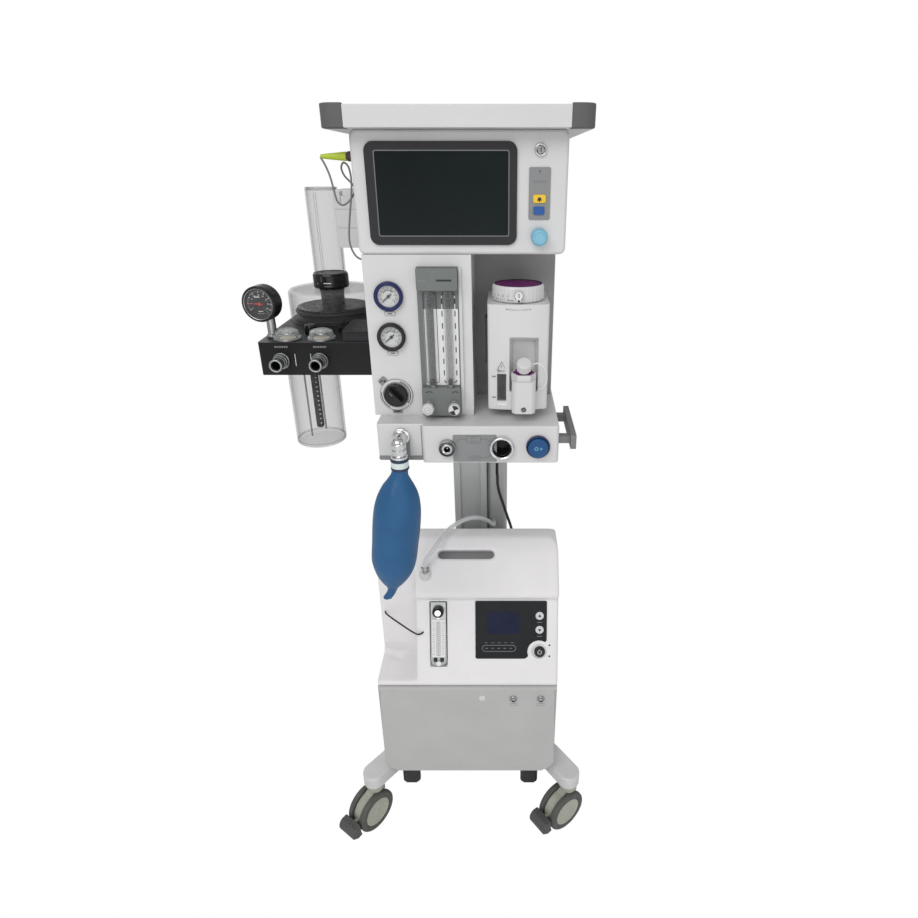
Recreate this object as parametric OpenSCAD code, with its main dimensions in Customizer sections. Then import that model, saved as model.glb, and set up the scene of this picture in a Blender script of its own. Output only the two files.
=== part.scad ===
// Trolley anaesthesia machine for a veterinary clinic: display head, gas panel, vaporizer,
// rebreathing circuit and an oxygen concentrator on a castored cross base. Millimetres, +Z up.

/* [Cabinet] */
// Left side of the gas cabinet
cabinet_left = -151; // [-153:1:-149]
// Right side of the gas cabinet
cabinet_right = 150; // [148:1:152]
// Depth of the gas cabinet behind its front plate
cabinet_depth = 380; // [370:5:390]
// Height at which the cabinet stands on the worktop
cabinet_low = 1061; // [1060:1:1062]
// Height of the cabinet's top
cabinet_high = 1318; // [1316:1:1320]
// Depth of the open bay that holds the vaporizer
bay_depth = 110; // [110:1:116]
// Wall of the moulded housings
wall = 4; // [3.5:0.5:4.5]

/* [Display head] */
// Left side of the display housing
head_left = -154; // [-156:1:-153]
// Right side of the display housing
head_right = 155; // [153:1:157]
// Depth of the display housing
head_depth = 350; // [330:5:370]
// Top of the display housing, under the tray
head_high = 1485; // [1484:1:1488]
// Thickness of the gas panel's front plate
plate_t = 6; // [5:0.5:7]

/* [Tray] */
// Height of the tray's rim
tray_h = 28; // [24:1:32]
// Size of the dark corner bumpers
bumper = 34; // [30:1:38]

/* [Flow controls] */
// Diameter of the two flow knobs
flow_knob_d = 20; // [18:1:22]
// Diameter of the rotary encoder
encoder_d = 25; // [22:1:27]
// Diameter of the gas selector knob
selector_d = 39; // [36:1:41]
// Diameter of the pipeline pressure gauges
gauge_d = 45; // [43:1:47]

/* [Vaporizer] */
// Width of the vaporizer
vapor_w = 97; // [94:1:100]
// Diameter of the vaporizer's dial
dial_d = 83; // [80:1:86]

/* [Worktop] */
// Height of the worktop's underside
worktop_low = 996; // [994:1:998]
// How far the worktop stands in front of the cabinet
worktop_front = 50; // [48:1:52]
// Diameter of the oxygen flush button
flush_d = 33; // [31:1:34]

/* [Breathing circuit] */
// Outside diameter of the breathing ports
port_d = 22; // [22:0.5:22.5]
// Diameter of the clear bellows housing
bellows_d = 164; // [160:1:166]
// Diameter of the clear absorber canister
canister_d = 92; // [90:1:94]
// Diameter of the airway pressure gauge
airway_d = 58; // [56:1:60]
// Bellows disc's diameter
disc_d = 138; // [134:1:140]

/* [Bag] */
// Widest diameter of the rebreathing bag
bag_d = 80; // [74:1:84]
// How far the bag leans, in degrees
bag_lean = 7; // [5:0.5:8]

/* [Concentrator] */
// Left side of the concentrator
conc_left = -210; // [-212:1:-208]
// Right side of the concentrator
conc_right = 182; // [180:1:184]
// Underside of the concentrator
conc_low = 155; // [155:1:155]
// Lean of its control section, in degrees
conc_lean = 18; // [17.5:0.5:18.5]

/* [Base] */
// Half the distance between the front casters
front_half = 229; // [226:1:232]
// Half the distance between the rear casters
rear_half = 205; // [200:1:210]
// Distance of the rear casters behind the front plate
rear_y = 500; // [490:5:510]
// Diameter of the caster wheels
wheel_d = 100; // [98:1:100]

/* [Cords] */
// Diameter of the clear oxygen hose
hose_d = 9.5; // [9:0.5:10]
// Diameter of the black mains lead
lead_d = 6.5; // [6:0.5:7]
// Diameter of the grey sensor lead
sensor_d = 2.8; // [2.6:0.1:3]

/* [Hidden] */
$fn = 64;
fit = 0.05;   // radial play of a running fit
gap = 0.3;    // gap between parts that move past each other
over = 1;     // how far a cutting solid passes its target

// The model is drawn with x from the cabinet's middle and y from its front plate,
// then moved so that the origin is under the middle of the whole machine.
shift_x = 53.3;
shift_y = -211.6;

O2_GAUGE = [-114, 1257];
AIR_GAUGE = [-114, 1194];
SELECTOR = [-113, 1098];
ENCODER = [115, 1344];
O2_KNOB = [-58, 1085];
AIR_KNOB = [-16, 1085];
FLUSH = [119, 1026];
SUPPLY_OUTLET = [-28, 1025];
FRESH_GAS = [60, 1025];
DIAL = [86, 30];
FILLER = [95, -20];
BELLOWS = [-266, 250];
CANISTER = [-288, 140];
VALVES = [[-305, 76], [-247, 76]];
PORTS = [-311, -246];
BLOCK = [-349, 52, 345, 1114, 1171];
AIRWAY = [-333, 59, 1235];
airway_yaw = -8;
BAG = [-103, -75];
POWER = [142, 66];
CONC_KNOB = [-75, 157];
HUB = [0, 340];
base_x = -11;
front_y = 44;
STEMS = [[base_x - front_half, front_y], [base_x + front_half, front_y],
         [base_x - rear_half, rear_y], [base_x + rear_half, rear_y]];
TURNS = [53, 38, 118, 66];
trail = 20;
wheel_r = wheel_d / 2;
head_low = cabinet_high;
lean_foot = [48, 428];

// Routes of the cords, as round numbers
HOSE = [[-101, 118, 674], [-101, 118, 684], [-94, 121, 698], [-84, 129, 709], [-75, 142, 718],
        [-64, 160, 726], [-51, 180, 731], [-33, 200, 734], [-14, 220, 732], [4, 240, 723],
        [18, 257, 710], [30, 272, 695], [38, 284, 680], [42, 296, 672], [42, 304, 672]];
LEAD = [[50, 302, 826], [50, 294, 826], [50, 284, 824], [50, 276, 818], [51, 270, 810],
        [51, 268, 800], [52, 268, 788], [54, 271, 775], [57, 276, 761], [60, 282, 747],
        [64, 287, 732], [68, 290, 716], [74, 294, 694], [80, 301, 671], [85, 310, 648],
        [90, 321, 622], [94, 330, 594], [97, 335, 566], [98, 336, 540], [98, 334, 526],
        [98, 334, 516]];
SENSOR = [[-201, 20, 1450], [-196, 20, 1441], [-191, 20, 1428], [-188, 21, 1414],
          [-186, 21, 1402], [-183, 20, 1391], [-176, 19, 1386], [-168, 19, 1389],
          [-161, 22, 1397], [-158, 28, 1404], [-160, 34, 1412], [-166, 37, 1418],
          [-173, 36, 1426], [-175, 31, 1436], [-170, 26, 1443], [-163, 23, 1438],
          [-160, 21, 1426], [-160, 20, 1412], [-162, 19, 1395], [-165, 18, 1378],
          [-168, 18, 1360], [-170, 17, 1342], [-169, 17, 1328], [-164, 17, 1316],
          [-157, 17, 1310], [-151, 17, 1310]];
STRAP = [[-200, 145, 536], [-196, 137, 536], [-180, 122, 535], [-160, 105, 534],
         [-140, 88, 533], [-126, 77, 533], [-118, 74, 532], [-111, 77, 532], [-108, 82, 532]];

// ---- Helpers ----

function corner(c, r, a) = [for (i = [0:4]) c + r * [cos(a + i * 22.5), sin(a + i * 22.5)]];

function outline(a, b, r) = r == 0
    ? [[a[0], b[0]], [a[1], b[0]], [a[1], b[1]], [a[0], b[1]]]
    : concat(corner([a[1] - r, b[1] - r], r, 0), corner([a[0] + r, b[1] - r], r, 90),
             corner([a[0] + r, b[0] + r], r, 180), corner([a[1] - r, b[0] + r], r, 270));

// Block whose upright edges are rounded
module slab(x, y, z, r = 0) {
    translate([0, 0, z[0]])
        linear_extrude(z[1] - z[0])
            polygon(outline(x, y, r));
}

// Block rounded as seen from the front
module front_slab(x, y, z, r = 0) {
    translate([0, y[1], 0])
        rotate([90, 0, 0])
            linear_extrude(y[1] - y[0])
                polygon(outline(x, z, r));
}

// Block rounded as seen from the side
module side_slab(x, y, z, r = 0) {
    translate([x[0], 0, 0])
        rotate([90, 0, 90])
            linear_extrude(x[1] - x[0])
                polygon(outline(y, z, r));
}

// Round bar along z at [x, y]
module rod_z(at, z, r) {
    translate([at[0], at[1], z[0]])
        cylinder(h = z[1] - z[0], r = r);
}

// Round bar along y at [x, z]
module rod_y(at, y, r) {
    translate([at[0], y[1], at[1]])
        rotate([90, 0, 0])
            cylinder(h = y[1] - y[0], r = r);
}

// Round bar along x at [y, z]
module rod_x(at, x, r) {
    translate([x[0], at[0], at[1]])
        rotate([0, 90, 0])
            cylinder(h = x[1] - x[0], r = r);
}

// Moves a part from the drawing's frame to the machine's own
module place() {
    translate([shift_x, shift_y, 0])
        children();
}

// Frame of the concentrator's leaning front: x across, y inwards, z up along the face
module on_lean() {
    translate([0, lean_foot[0], lean_foot[1]])
        rotate([-conc_lean, 0, 0])
            children();
}

function unit(v) = v / norm(v);
function heading(p, i) = unit(p[min(i + 1, len(p) - 1)] - p[max(i - 1, 0)]);

// Tube of n sides swept along the points of a route, with ref across the route
module cord(route, d, ref, n = 10) {
    rings = [for (i = [0:len(route) - 1])
        let (t = heading(route, i), s = unit(cross(t, ref)), u = cross(s, t))
            for (k = [0:n - 1]) route[i] + d / 2 * (cos(k * 360 / n) * s + sin(k * 360 / n) * u)];
    sides = [for (i = [0:len(route) - 2], k = [0:n - 1])
        [i * n + k, i * n + (k + 1) % n, (i + 1) * n + (k + 1) % n, (i + 1) * n + k]];
    last = (len(route) - 1) * n;
    polyhedron(rings, concat(sides, [[for (k = [0:n - 1]) n - 1 - k]],
                             [[for (k = [0:n - 1]) last + k]]));
}

// ---- Base and casters ----

// Leg from the hub out to one caster stem, as a straight bar with a round end
module leg(stem, half_w, z) {
    run = stem - HUB;
    translate([HUB[0], HUB[1], z[0]])
        rotate([0, 0, atan2(run[1], run[0])])
            linear_extrude(z[1] - z[0])
                union() {
                    translate([0, -half_w])
                        square([norm(run), 2 * half_w]);
                    translate([norm(run), 0])
                        circle(r = half_w);
                }
}

module hub_block() {
    slab([-76, 82], [294, 398], [121, 152], 14);
}

module base_frame() {
    color([0.36, 0.37, 0.38]) place() {
        difference() {
            union() {
                for (s = STEMS) leg(s, 20, [121, 148]);
                hub_block();
                slab([-125, 98], [110, 306], [152, conc_low], 0);
            }
            for (s = STEMS) rod_z(s, [100, 141], 8 + fit);
        }
    }
}

module leg_covers() {
    color([0.92, 0.92, 0.91]) place() {
        difference() {
            union() {
                for (s = STEMS) leg(s, 25, [120, 152]);
            }
            for (s = STEMS) leg(s, 21.5, [119, 148]);
            slab([-76, 82], [294, 398], [110, 160], 14);
        }
    }
}

// One caster drawn with its stem on the z axis and its wheels trailing along -x
module at_caster(i) {
    place()
        translate([STEMS[i][0], STEMS[i][1], 0])
            rotate([0, 0, TURNS[i]])
                children();
}

module caster_fork(i) {
    color([0.70, 0.71, 0.63]) at_caster(i) {
        difference() {
            union() {
                rod_y([-trail, wheel_r], [-11.8, 11.8], 43);
                slab([-19, 19], [-11.8, 11.8], [66, 103], 0);
                rod_z([0, 0], [101.5, 119.7], 20);
                rod_z([0, 0], [119, 139], 8);
                slab([-75, -58], [-4, 4], [38, 52], 0);
            }
            rod_y([-trail, wheel_r], [-20, 20], 5 + fit);
            rod_y([-69, 45], [-10, 10], 2.5 + fit);
        }
    }
}

module caster_wheel(i) {
    color([0.33, 0.33, 0.31]) at_caster(i) {
        for (y = [[-25, -12.2], [12.2, 25]]) rod_y([-trail, wheel_r], y, wheel_r);
        rod_y([-trail, wheel_r], [-13, 13], 5);
    }
}

module brake_pedal(i) {
    color([0.30, 0.30, 0.30]) at_caster(i) {
        slab([-101, -77], [-26, 26], [31, 44], 7);
        for (s = [-1, 1]) {
            translate([0, s * 6.8, 0])
                slab([-80, -65], [-2.4, 2.4], [39, 50], 0);
        }
        rod_y([-69, 45], [-8, 8], 2.5);
    }
}

// ---- Mast ----

module mast() {
    color([0.62, 0.63, 0.63]) place() {
        difference() {
            slab([-50, 26], [310, 380], [152, worktop_low], 3);
            slab([-35, 11], [300, 318], [150, 1000], 0);
            slab([-43, 19], [325, 373], [150, 1000], 4);
            slab([-22, -2], [372, 390], [150, 1000], 0);
        }
        difference() {
            slab([26, 73], [322, 370], [152, worktop_low], 12);
            slab([30, 69], [326, 366], [150, 1000], 9);
        }
        rod_y([42, 672], [304, 322], 6);
        rod_y([50, 826], [302, 322], 8);
    }
}

// ---- Oxygen concentrator ----

// Point of the side view that lies t inside the leaning front and v up along it
function lean_point(t, v) = lean_foot + [t * cos(conc_lean) + v * sin(conc_lean),
                                         v * cos(conc_lean) - t * sin(conc_lean)];

// Side view of the concentrator, drawn in by t on every side
module conc_side(t) {
    rotate([90, 0, 90])
        linear_extrude(conc_right - conc_left - 2 * t)
            polygon(t == 0
                ? [[58, 155], [58, 413], [46, 415], [44, 419], [44, 424], lean_point(0, 0),
                   lean_point(0, 185), [94, 609], [90, 620], [162, 706], [172, 713], [184, 716], [202, 716],
                   [213, 712], [300, 650], [300, 155]]
                : [[62, 159], lean_point(t, 33), lean_point(t, 187), [99, 615], [97, 621], [165, 701],
                   [175, 708], [185, 711], [201, 711], [210, 708], [296, 648], [296, 159]]);
}

// Outer or inner form of the concentrator's housing
module conc_form(t) {
    intersection() {
        translate([conc_left + t, 0, 0])
            conc_side(t);
        front_slab([conc_left + t, conc_right - t], [0, 400], [conc_low + t, 716 - t], 24 - t);
    }
}

// Corner niche for a humidifier bottle, grown by t
module bottle_niche(t) {
    slab([conc_left - 60, -124 + t], [-60, 145 + t], [428 - t, 770], 30);
}

// Pocket of the oxygen flowmeter in the leaning front, grown by t
module flowmeter_pocket(t) {
    on_lean()
        slab([-93 - t, -57 + t], [-20, 12 + t], [32 - t, 178], 0);
}

module panel_window(y) {
    on_lean()
        slab([7, 155], y, [50, 172], 0);
}

module handle_slot() {
    translate([-16.5, 146, 687])
        rotate([50, 0, 0])
            slab([-61, 61], [-9, 9], [-30, 30], 8);
}

module concentrator_shell() {
    color([0.90, 0.90, 0.89]) place() {
        difference() {
            conc_form(0);
            difference() {
                conc_form(wall);
                bottle_niche(wall);
                flowmeter_pocket(3);
            }
            bottle_niche(0);
            flowmeter_pocket(0);
            panel_window([-10, 14]);
            handle_slot();
            for (k = [0:11]) {
                front_slab([-70, 50], [290, 310], [200 + k * 16, 207 + k * 16], 2);
            }
            rod_y([-106, 532], [60, 84], 2.2);
        }
    }
}

module concentrator_cover() {
    color([0.68, 0.68, 0.67]) place() {
        difference() {
            front_slab([conc_left + 1, conc_right - 1], [40, 58], [156, 412], 26);
            front_slab([conc_left + 5, conc_right - 5], [44, 70], [160, 408], 22);
        }
        rod_y([86, 383], [33, 40], 8);
        rod_y([146, 383], [33, 40], 8);
        rod_y([18, 384], [37, 40], 5);
    }
}

module control_panel() {
    color([0.22, 0.24, 0.27]) place() on_lean() {
        difference() {
            union() {
                slab([3, 158], [-2, 0], [48, 180], 0);
                slab([7, 155], [0, 14], [50, 172], 0);
            }
            rod_y([POWER[0], POWER[1]], [-10, 8], 12 + fit);
        }
    }
}

module power_button() {
    color([0.12, 0.12, 0.13]) place() on_lean()
        rod_y([POWER[0], POWER[1]], [-6, 3], 12);
}

module concentrator_core() {
    color([0.50, 0.51, 0.53]) place() {
        // four rubber feet under the housing
        for (x = [-173, 105]) {
            for (y = [44, 262]) slab([x, x + 40], [y, y + 23], [y < 100 ? 111 : 127, conc_low], 8);
        }
        // base tray, compressor with two heads, two sieve tanks and a product tank
        slab([-184, 156], [70, 290], [159, 163], 0);
        rod_x([175, 218], [-80, 40], 45);
        for (x = [-66, 26]) rod_z([x, 175], [255, 310], 22);
        for (x = [-70, 30]) slab([x - 6, x + 6], [140, 210], [163, 190], 0);
        rod_z([112, 122], [163, 400], 34);
        rod_z([112, 228], [163, 470], 34);
        rod_z([-152, 225], [163, 420], 30);
    }
}

module oxygen_flowmeter() {
    color([0.80, 0.83, 0.85]) place() {
        difference() {
            on_lean() slab([-90, -60], [-4, 12], [34, 176], 0);
            on_lean() rod_y([CONC_KNOB[0], CONC_KNOB[1]], [-20, 6], 3 + fit);
            on_lean() rod_z([-75, 2], [54, 132], 5);
        }
        // outlet elbow in the sloping top
        translate([-101, 118, 654])
            rotate([50, 0, 0])
                union() {
                    cylinder(h = 3, r = 13);
                    cylinder(h = 9, r = 9);
                }
        rod_z([-101, 118], [661, 674], 5.5);
    }
}

module concentrator_knob() {
    color([0.75, 0.76, 0.78]) place() on_lean() {
        rod_y([CONC_KNOB[0], CONC_KNOB[1]], [-17, -4 - gap], 12);
        rod_y([CONC_KNOB[0], CONC_KNOB[1]], [-5, 4], 3);
    }
}

module bottle_strap() {
    color([0.05, 0.05, 0.05]) place()
        cord(STRAP, 3.6, [0, 0, 1], 8);
}

// ---- Cabinet and display head ----

module cabinet() {
    color([0.90, 0.90, 0.89]) place() {
        difference() {
            union() {
                slab([cabinet_left, 14], [plate_t, cabinet_depth], [cabinet_low, cabinet_high], 0);
                slab([10, cabinet_right], [bay_depth, cabinet_depth],
                     [cabinet_low, cabinet_high], 0);
            }
            slab([cabinet_left + wall, 10], [plate_t - over, cabinet_depth - wall],
                 [cabinet_low - over, cabinet_high - wall], 0);
            slab([9, cabinet_right - wall], [bay_depth + wall, cabinet_depth - wall],
                 [cabinet_low - over, cabinet_high - wall], 0);
            for (k = [0:7]) {
                front_slab([-110, 110], [cabinet_depth - 10, cabinet_depth + 10],
                           [1200 + k * 12, 1205 + k * 12], 2);
            }
        }
    }
}

module display_housing() {
    color([0.90, 0.90, 0.89]) place() {
        difference() {
            front_slab([head_left, head_right], [0, head_depth], [head_low, head_high], 9);
            front_slab([head_left + wall, head_right - wall], [wall, head_depth - wall],
                       [head_low + wall, head_high - wall], 5);
            front_slab([-134, 82], [-over, 20], [1332, 1470], 12);
            rod_y(ENCODER, [-over, 20], 3 + fit);
            for (k = [0:6]) {
                front_slab([-90, 90], [head_depth - 10, head_depth + 10],
                           [1360 + k * 12, 1365 + k * 12], 2);
            }
        }
    }
}

module display_screen() {
    color([0.20, 0.21, 0.23]) place() {
        // bezel with its glass, and the board behind it
        front_slab([-134, 82], [-3, 16], [1332, 1470], 12);
        front_slab([-118, 68], [16, 22], [1342, 1460], 0);
        // keypad label, two keys and the key lock
        front_slab([99, 130], [-1.5, 0], [1367, 1437], 2);
        front_slab([106, 123], [-3.5, -1.5], [1390, 1401], 1.5);
        front_slab([106, 122], [-3.5, -1.5], [1374, 1385], 1.5);
        rod_y([115, 1459], [-5, 0], 9);
    }
}

module encoder_knob() {
    color([0.44, 0.72, 0.81]) place() {
        rod_y(ENCODER, [-22, -gap], encoder_d / 2);
        rod_y(ENCODER, [-1, 14], 3);
    }
}

module top_tray() {
    color([0.93, 0.93, 0.92]) place() {
        difference() {
            slab([-187, 188], [-30, 400], [head_high, head_high + tray_h], 0);
            slab([-181, 182], [-24, 394], [head_high + 5, head_high + tray_h + over], 0);
            tray_corner_blocks(0);
        }
    }
}

// Square blocks at the tray's four corners
module tray_corner_blocks(r) {
    for (x = [-187, 188 - bumper], y = [-30, 400 - bumper]) {
        slab([x, x + bumper], [y, y + bumper], [head_high - 2, head_high + tray_h + 2], r);
    }
}

module tray_corners() {
    color([0.40, 0.40, 0.41]) place() {
        difference() {
            intersection() {
                tray_corner_blocks(0);
                slab([-187, 188], [-30, 400], [head_high, head_high + tray_h + 2], 20);
            }
            slab([-179, 180], [-22, 392], [head_high + 5, head_high + tray_h + 4], 14);
        }
    }
}

// ---- Gas panel ----

module gas_plate() {
    color([0.91, 0.91, 0.90]) place() {
        difference() {
            union() {
                slab([cabinet_left, 14], [0, plate_t], [cabinet_low, cabinet_high], 0);
                rod_y(SELECTOR, [-3, 1], 27);
            }
            rod_y(O2_GAUGE, [-10, 10], gauge_d / 2 - 2.5);
            rod_y(AIR_GAUGE, [-10, 10], gauge_d / 2 - 2.5);
            rod_y(SELECTOR, [-10, 10], 4 + fit);
            rod_y(SELECTOR, [-10, -1.5], 21);
        }
    }
}

module gauge_case(at) {
    difference() {
        union() {
            rod_y(at, [-9, 0], gauge_d / 2);
            rod_y(at, [0, 30], gauge_d / 2 - 2.5);
        }
        rod_y(at, [-10, -3], 16.5);
        rod_y(at, [-4, 3], 1.2 + fit);
    }
}

module pressure_gauges() {
    color([0.12, 0.13, 0.30]) place() {
        gauge_case(O2_GAUGE);
        gauge_case(AIR_GAUGE);
    }
}

// Flat pointer of a gauge, hanging from the y axis, with a short tail
module pointer(y, length, hub, shaft) {
    translate([0, y[1], 0])
        rotate([90, 0, 0])
            linear_extrude(y[1] - y[0])
                union() {
                    circle(r = hub);
                    polygon([[-0.5, -length], [0.5, -length], [1, 0], [0.7, 6], [-0.7, 6], [-1, 0]]);
                }
    rod_y([0, 0], [y[1], y[1] + shaft], 1.2);
}

module gauge_needle(at) {
    color([0.10, 0.10, 0.10]) place()
        translate([at[0], 0, at[1]])
            rotate([0, 50, 0])
                pointer([-5, -4], 12, 2.5, 6);
}

module selector_knob() {
    color([0.12, 0.13, 0.13]) place() {
        rod_y(SELECTOR, [-22, -3 - gap], selector_d / 2);
        rod_y(SELECTOR, [-5, 5], 4);
    }
}

module flowmeter_panel() {
    color([0.66, 0.67, 0.66]) place() {
        front_slab([-70, -6], [-4, 0], [1065, 1301], 3);
        difference() {
            front_slab([-68, -8], [-18, -4], [1068, 1114], 2);
            rod_y(O2_KNOB, [-20, -6], 3 + fit);
            rod_y(AIR_KNOB, [-20, -6], 3 + fit);
        }
        front_slab([-68, -8], [-18, -4], [1268, 1298], 2);
        for (x = [-51, -22.5]) {
            difference() {
                rod_z([x, -11], [1114, 1268], 6.5);
                rod_z([x, -11], [1112, 1270], 4);
            }
        }
    }
}

module flow_knob(at) {
    color([0.80, 0.80, 0.80]) place() {
        rod_y(at, [-43, -18 - gap], flow_knob_d / 2);
        rod_y(at, [-19, -8], 3);
    }
}

// ---- Vaporizer ----

module vaporizer_body() {
    color([0.90, 0.90, 0.89]) place() {
        difference() {
            union() {
                slab([DIAL[0] - vapor_w / 2, DIAL[0] + vapor_w / 2], [-18, bay_depth],
                     [1098, 1247], 14);
                slab([DIAL[0] - 42, DIAL[0] + 46], [-18, 70], [1075, 1100], 12);
                rod_z(DIAL, [1247, 1262], 8);
            }
            front_slab([71, 120], [-30, 8], [1112, 1199], 6);
        }
        // filler block with its neck
        slab([76, 114], [-42, 8], [1078, 1132], 5);
        difference() {
            union() {
                rod_z(FILLER, [1132, 1142], 19);
                translate([FILLER[0], FILLER[1], 1138])
                    rotate([35, 0, 0])
                        cylinder(h = 22, r = 7);
            }
            slab([60, 130], [-60, 20], [1120, 1132], 0);
        }
    }
}

module vaporizer_dial() {
    color([0.93, 0.93, 0.92]) place() {
        difference() {
            union() {
                rod_z(DIAL, [1247 + gap, 1272], dial_d / 2);
                slab([DIAL[0] - 9, DIAL[0] + 9], [-20, 4], [1250, 1268], 6);
            }
            rod_z(DIAL, [1240, 1263], 8 + fit);
        }
    }
}

module filler_cap() {
    color([0.93, 0.93, 0.92]) place()
        translate([FILLER[0], FILLER[1], 1138])
            rotate([35, 0, 0])
                difference() {
                    translate([0, 0, 14])
                        cylinder(h = 16, r = 12);
                    translate([0, 0, -1])
                        cylinder(h = 24, r = 7 + fit);
                }
}

// ---- Worktop ----

module worktop() {
    color([0.88, 0.88, 0.87]) place() {
        difference() {
            union() {
                slab([-143, 153], [-40, 390], [worktop_low, cabinet_low], 6);
                slab([-69, 153], [-worktop_front, 0], [worktop_low, cabinet_low], 6);
            }
            slab([-139, 149], [-36, 386], [worktop_low + wall, cabinet_low - wall], 4);
            rod_y(SUPPLY_OUTLET, [-70, -20], 10);
            rod_y(FRESH_GAS, [-70, -20], 16);
            rod_y(FLUSH, [-70, -20], 18);
        }
    }
}

// Collar on the worktop's front with a body that goes through it and a blind bore
module outlet(at, collar, y_front, body, bore, depth) {
    difference() {
        union() {
            rod_y(at, [y_front, -worktop_front], collar);
            rod_y(at, [-worktop_front, 0], body);
        }
        rod_y(at, [y_front - over, y_front + depth], bore);
    }
}

module outlet_ports() {
    color([0.75, 0.76, 0.78]) place() {
        outlet(SUPPLY_OUTLET, 14, -62, 10, 5, 26);
        outlet(FRESH_GAS, 20, -60, 16, 11, 30);
        outlet(FLUSH, 19.5, -56, 18, flush_d / 2 + fit, 30);
        // gas inlets and mains socket on the back of the cabinet
        for (x = [-100, -60]) {
            rod_y([x, 1110], [cabinet_depth, cabinet_depth + 6], 12);
            rod_y([x, 1110], [cabinet_depth + 6, cabinet_depth + 24], 8);
        }
        difference() {
            front_slab([50, 104], [cabinet_depth, cabinet_depth + 6], [1090, 1126], 3);
            front_slab([60, 88], [cabinet_depth + 1, cabinet_depth + 8], [1097, 1119], 2);
        }
    }
}

module flush_button() {
    color([0.12, 0.37, 0.59]) place()
        rod_y(FLUSH, [-62, -34], flush_d / 2);
}

module side_rail() {
    color([0.45, 0.45, 0.46]) place() {
        side_slab([172, 181], [-50, 92], [1020, 1045], 4);
        for (y = [-38, 58]) slab([153, 172], [y, y + 14], [1026, 1039], 0);
    }
}

module bag_elbow() {
    color([0.78, 0.79, 0.80]) place() {
        difference() {
            union() {
                rod_y([BAG[0], 1041], [-47, -40], 14);
                rod_y([BAG[0], 1041], [BAG[1], -46], 11);
                translate([BAG[0], BAG[1], 1041])
                    sphere(r = 11);
                rod_z(BAG, [1003, 1041], 11);
                rod_z(BAG, [1017 + gap, 1022], 14);
            }
            rod_z(BAG, [1000, 1041], 7.5);
            rod_y([BAG[0], 1041], [BAG[1], -42], 7.5);
        }
    }
}

// The bag hangs from its collar and leans to the left
module breathing_bag() {
    r = bag_d / 2;
    color([0.18, 0.39, 0.57]) place() {
        difference() {
            rod_z(BAG, [1000, 1017], 15);
            rod_z(BAG, [1002, 1018], 11 + fit);
        }
        translate([BAG[0], BAG[1], 1001])
            rotate([0, bag_lean, 0])
                rotate_extrude()
                    polygon([[0, 0], [13.5, 0], [14, -14], [22, -26], [32, -44], [r - 3, -66],
                             [r, -95], [r, -150], [r - 2, -180], [r - 9, -202], [20, -222],
                             [11, -234], [8, -242], [8, -262], [0, -262]]);
    }
}

// ---- Breathing circuit ----

module circuit_block() {
    color([0.10, 0.10, 0.11]) place() {
        difference() {
            union() {
                slab([BLOCK[0], cabinet_left], [BLOCK[1], BLOCK[2]], [BLOCK[3], BLOCK[4]], 3);
                slab([-208, cabinet_left], [60, 150], [1170, 1188], 4);
                rod_z([-276, 116], [1170, 1187], 11);
                for (v = VALVES) rod_z(v, [1170, 1172], 12);
            }
            for (v = VALVES) rod_z(v, [1168, 1173], 9);
            rod_z(CANISTER, [1110, 1126], 40 + fit);
        }
        // level tube and drain rod inside the canister
        rod_z(CANISTER, [985, 1126], 8);
        rod_z([CANISTER[0] - 16, CANISTER[1] - 8], [968, 1126], 3);
    }
}

module breathing_ports() {
    color([0.76, 0.77, 0.78]) place() {
        for (x = PORTS) {
            difference() {
                union() {
                    rod_y([x, 1141], [44, BLOCK[1]], 14);
                    rod_y([x, 1141], [14, 44], port_d / 2);
                }
                rod_y([x, 1141], [10, 50], 7.5);
            }
        }
    }
}

module valve_domes() {
    color([0.85, 0.88, 0.90]) place() {
        for (v = VALVES) {
            difference() {
                union() {
                    rod_z(v, [1171, 1176], 23);
                    rod_z(v, [1176, 1188], 20);
                }
                rod_z(v, [1170, 1185.5], 17.5);
            }
        }
    }
}

module valve_disc(at) {
    color([0.85, 0.80, 0.70]) place()
        rod_z(at, [1172 + gap, 1173.8], 14);
}

module bellows_housing() {
    color([0.85, 0.88, 0.90]) place() {
        difference() {
            rod_z(BELLOWS, [1171, 1228], bellows_d / 2);
            rod_z(BELLOWS, [1170, 1225], bellows_d / 2 - 3);
            rod_z(BELLOWS, [1220, 1230], 24);
        }
    }
}

module bellows() {
    color([0.08, 0.08, 0.08]) place() {
        difference() {
            union() {
                rod_z(BELLOWS, [1171 + gap, 1180], 74);
                rod_z(BELLOWS, [1180, 1184], 66);
                rod_z(BELLOWS, [1184, 1191], 72);
            }
            rod_z(BELLOWS, [1170, 1192], 26);
        }
    }
}

module bellows_disc() {
    color([0.10, 0.10, 0.10]) place() {
        difference() {
            rod_z(BELLOWS, [1191, 1196], disc_d / 2);
            rod_z(BELLOWS, [1190, 1198], 22 + fit);
        }
    }
}

module relief_tube() {
    color([0.30, 0.31, 0.32]) place() {
        rod_z(BELLOWS, [1171, 1222], 22);
        rod_z(BELLOWS, [1229, 1256], 33);
        rod_z(BELLOWS, [1222, 1229], 23.5);
        difference() {
            rod_z(BELLOWS, [1256, 1405], 29);
            rod_z(BELLOWS, [1258, 1406], 26.5);
        }
    }
}

module absorber_canister() {
    color([0.82, 0.85, 0.87]) place() {
        difference() {
            union() {
                rod_z(CANISTER, [958, BLOCK[3] - gap], canister_d / 2);
                rod_z(CANISTER, [1110, 1125.7], 40);
            }
            rod_z(CANISTER, [961, 1130], canister_d / 2 - 9);
            rod_z(CANISTER, [961, 1108], canister_d / 2 - 3);
        }
    }
}

// Frame of the airway gauge: x across its face, y through it, z up
module on_airway() {
    place()
        translate(AIRWAY)
            rotate([0, 0, airway_yaw])
                children();
}

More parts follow.
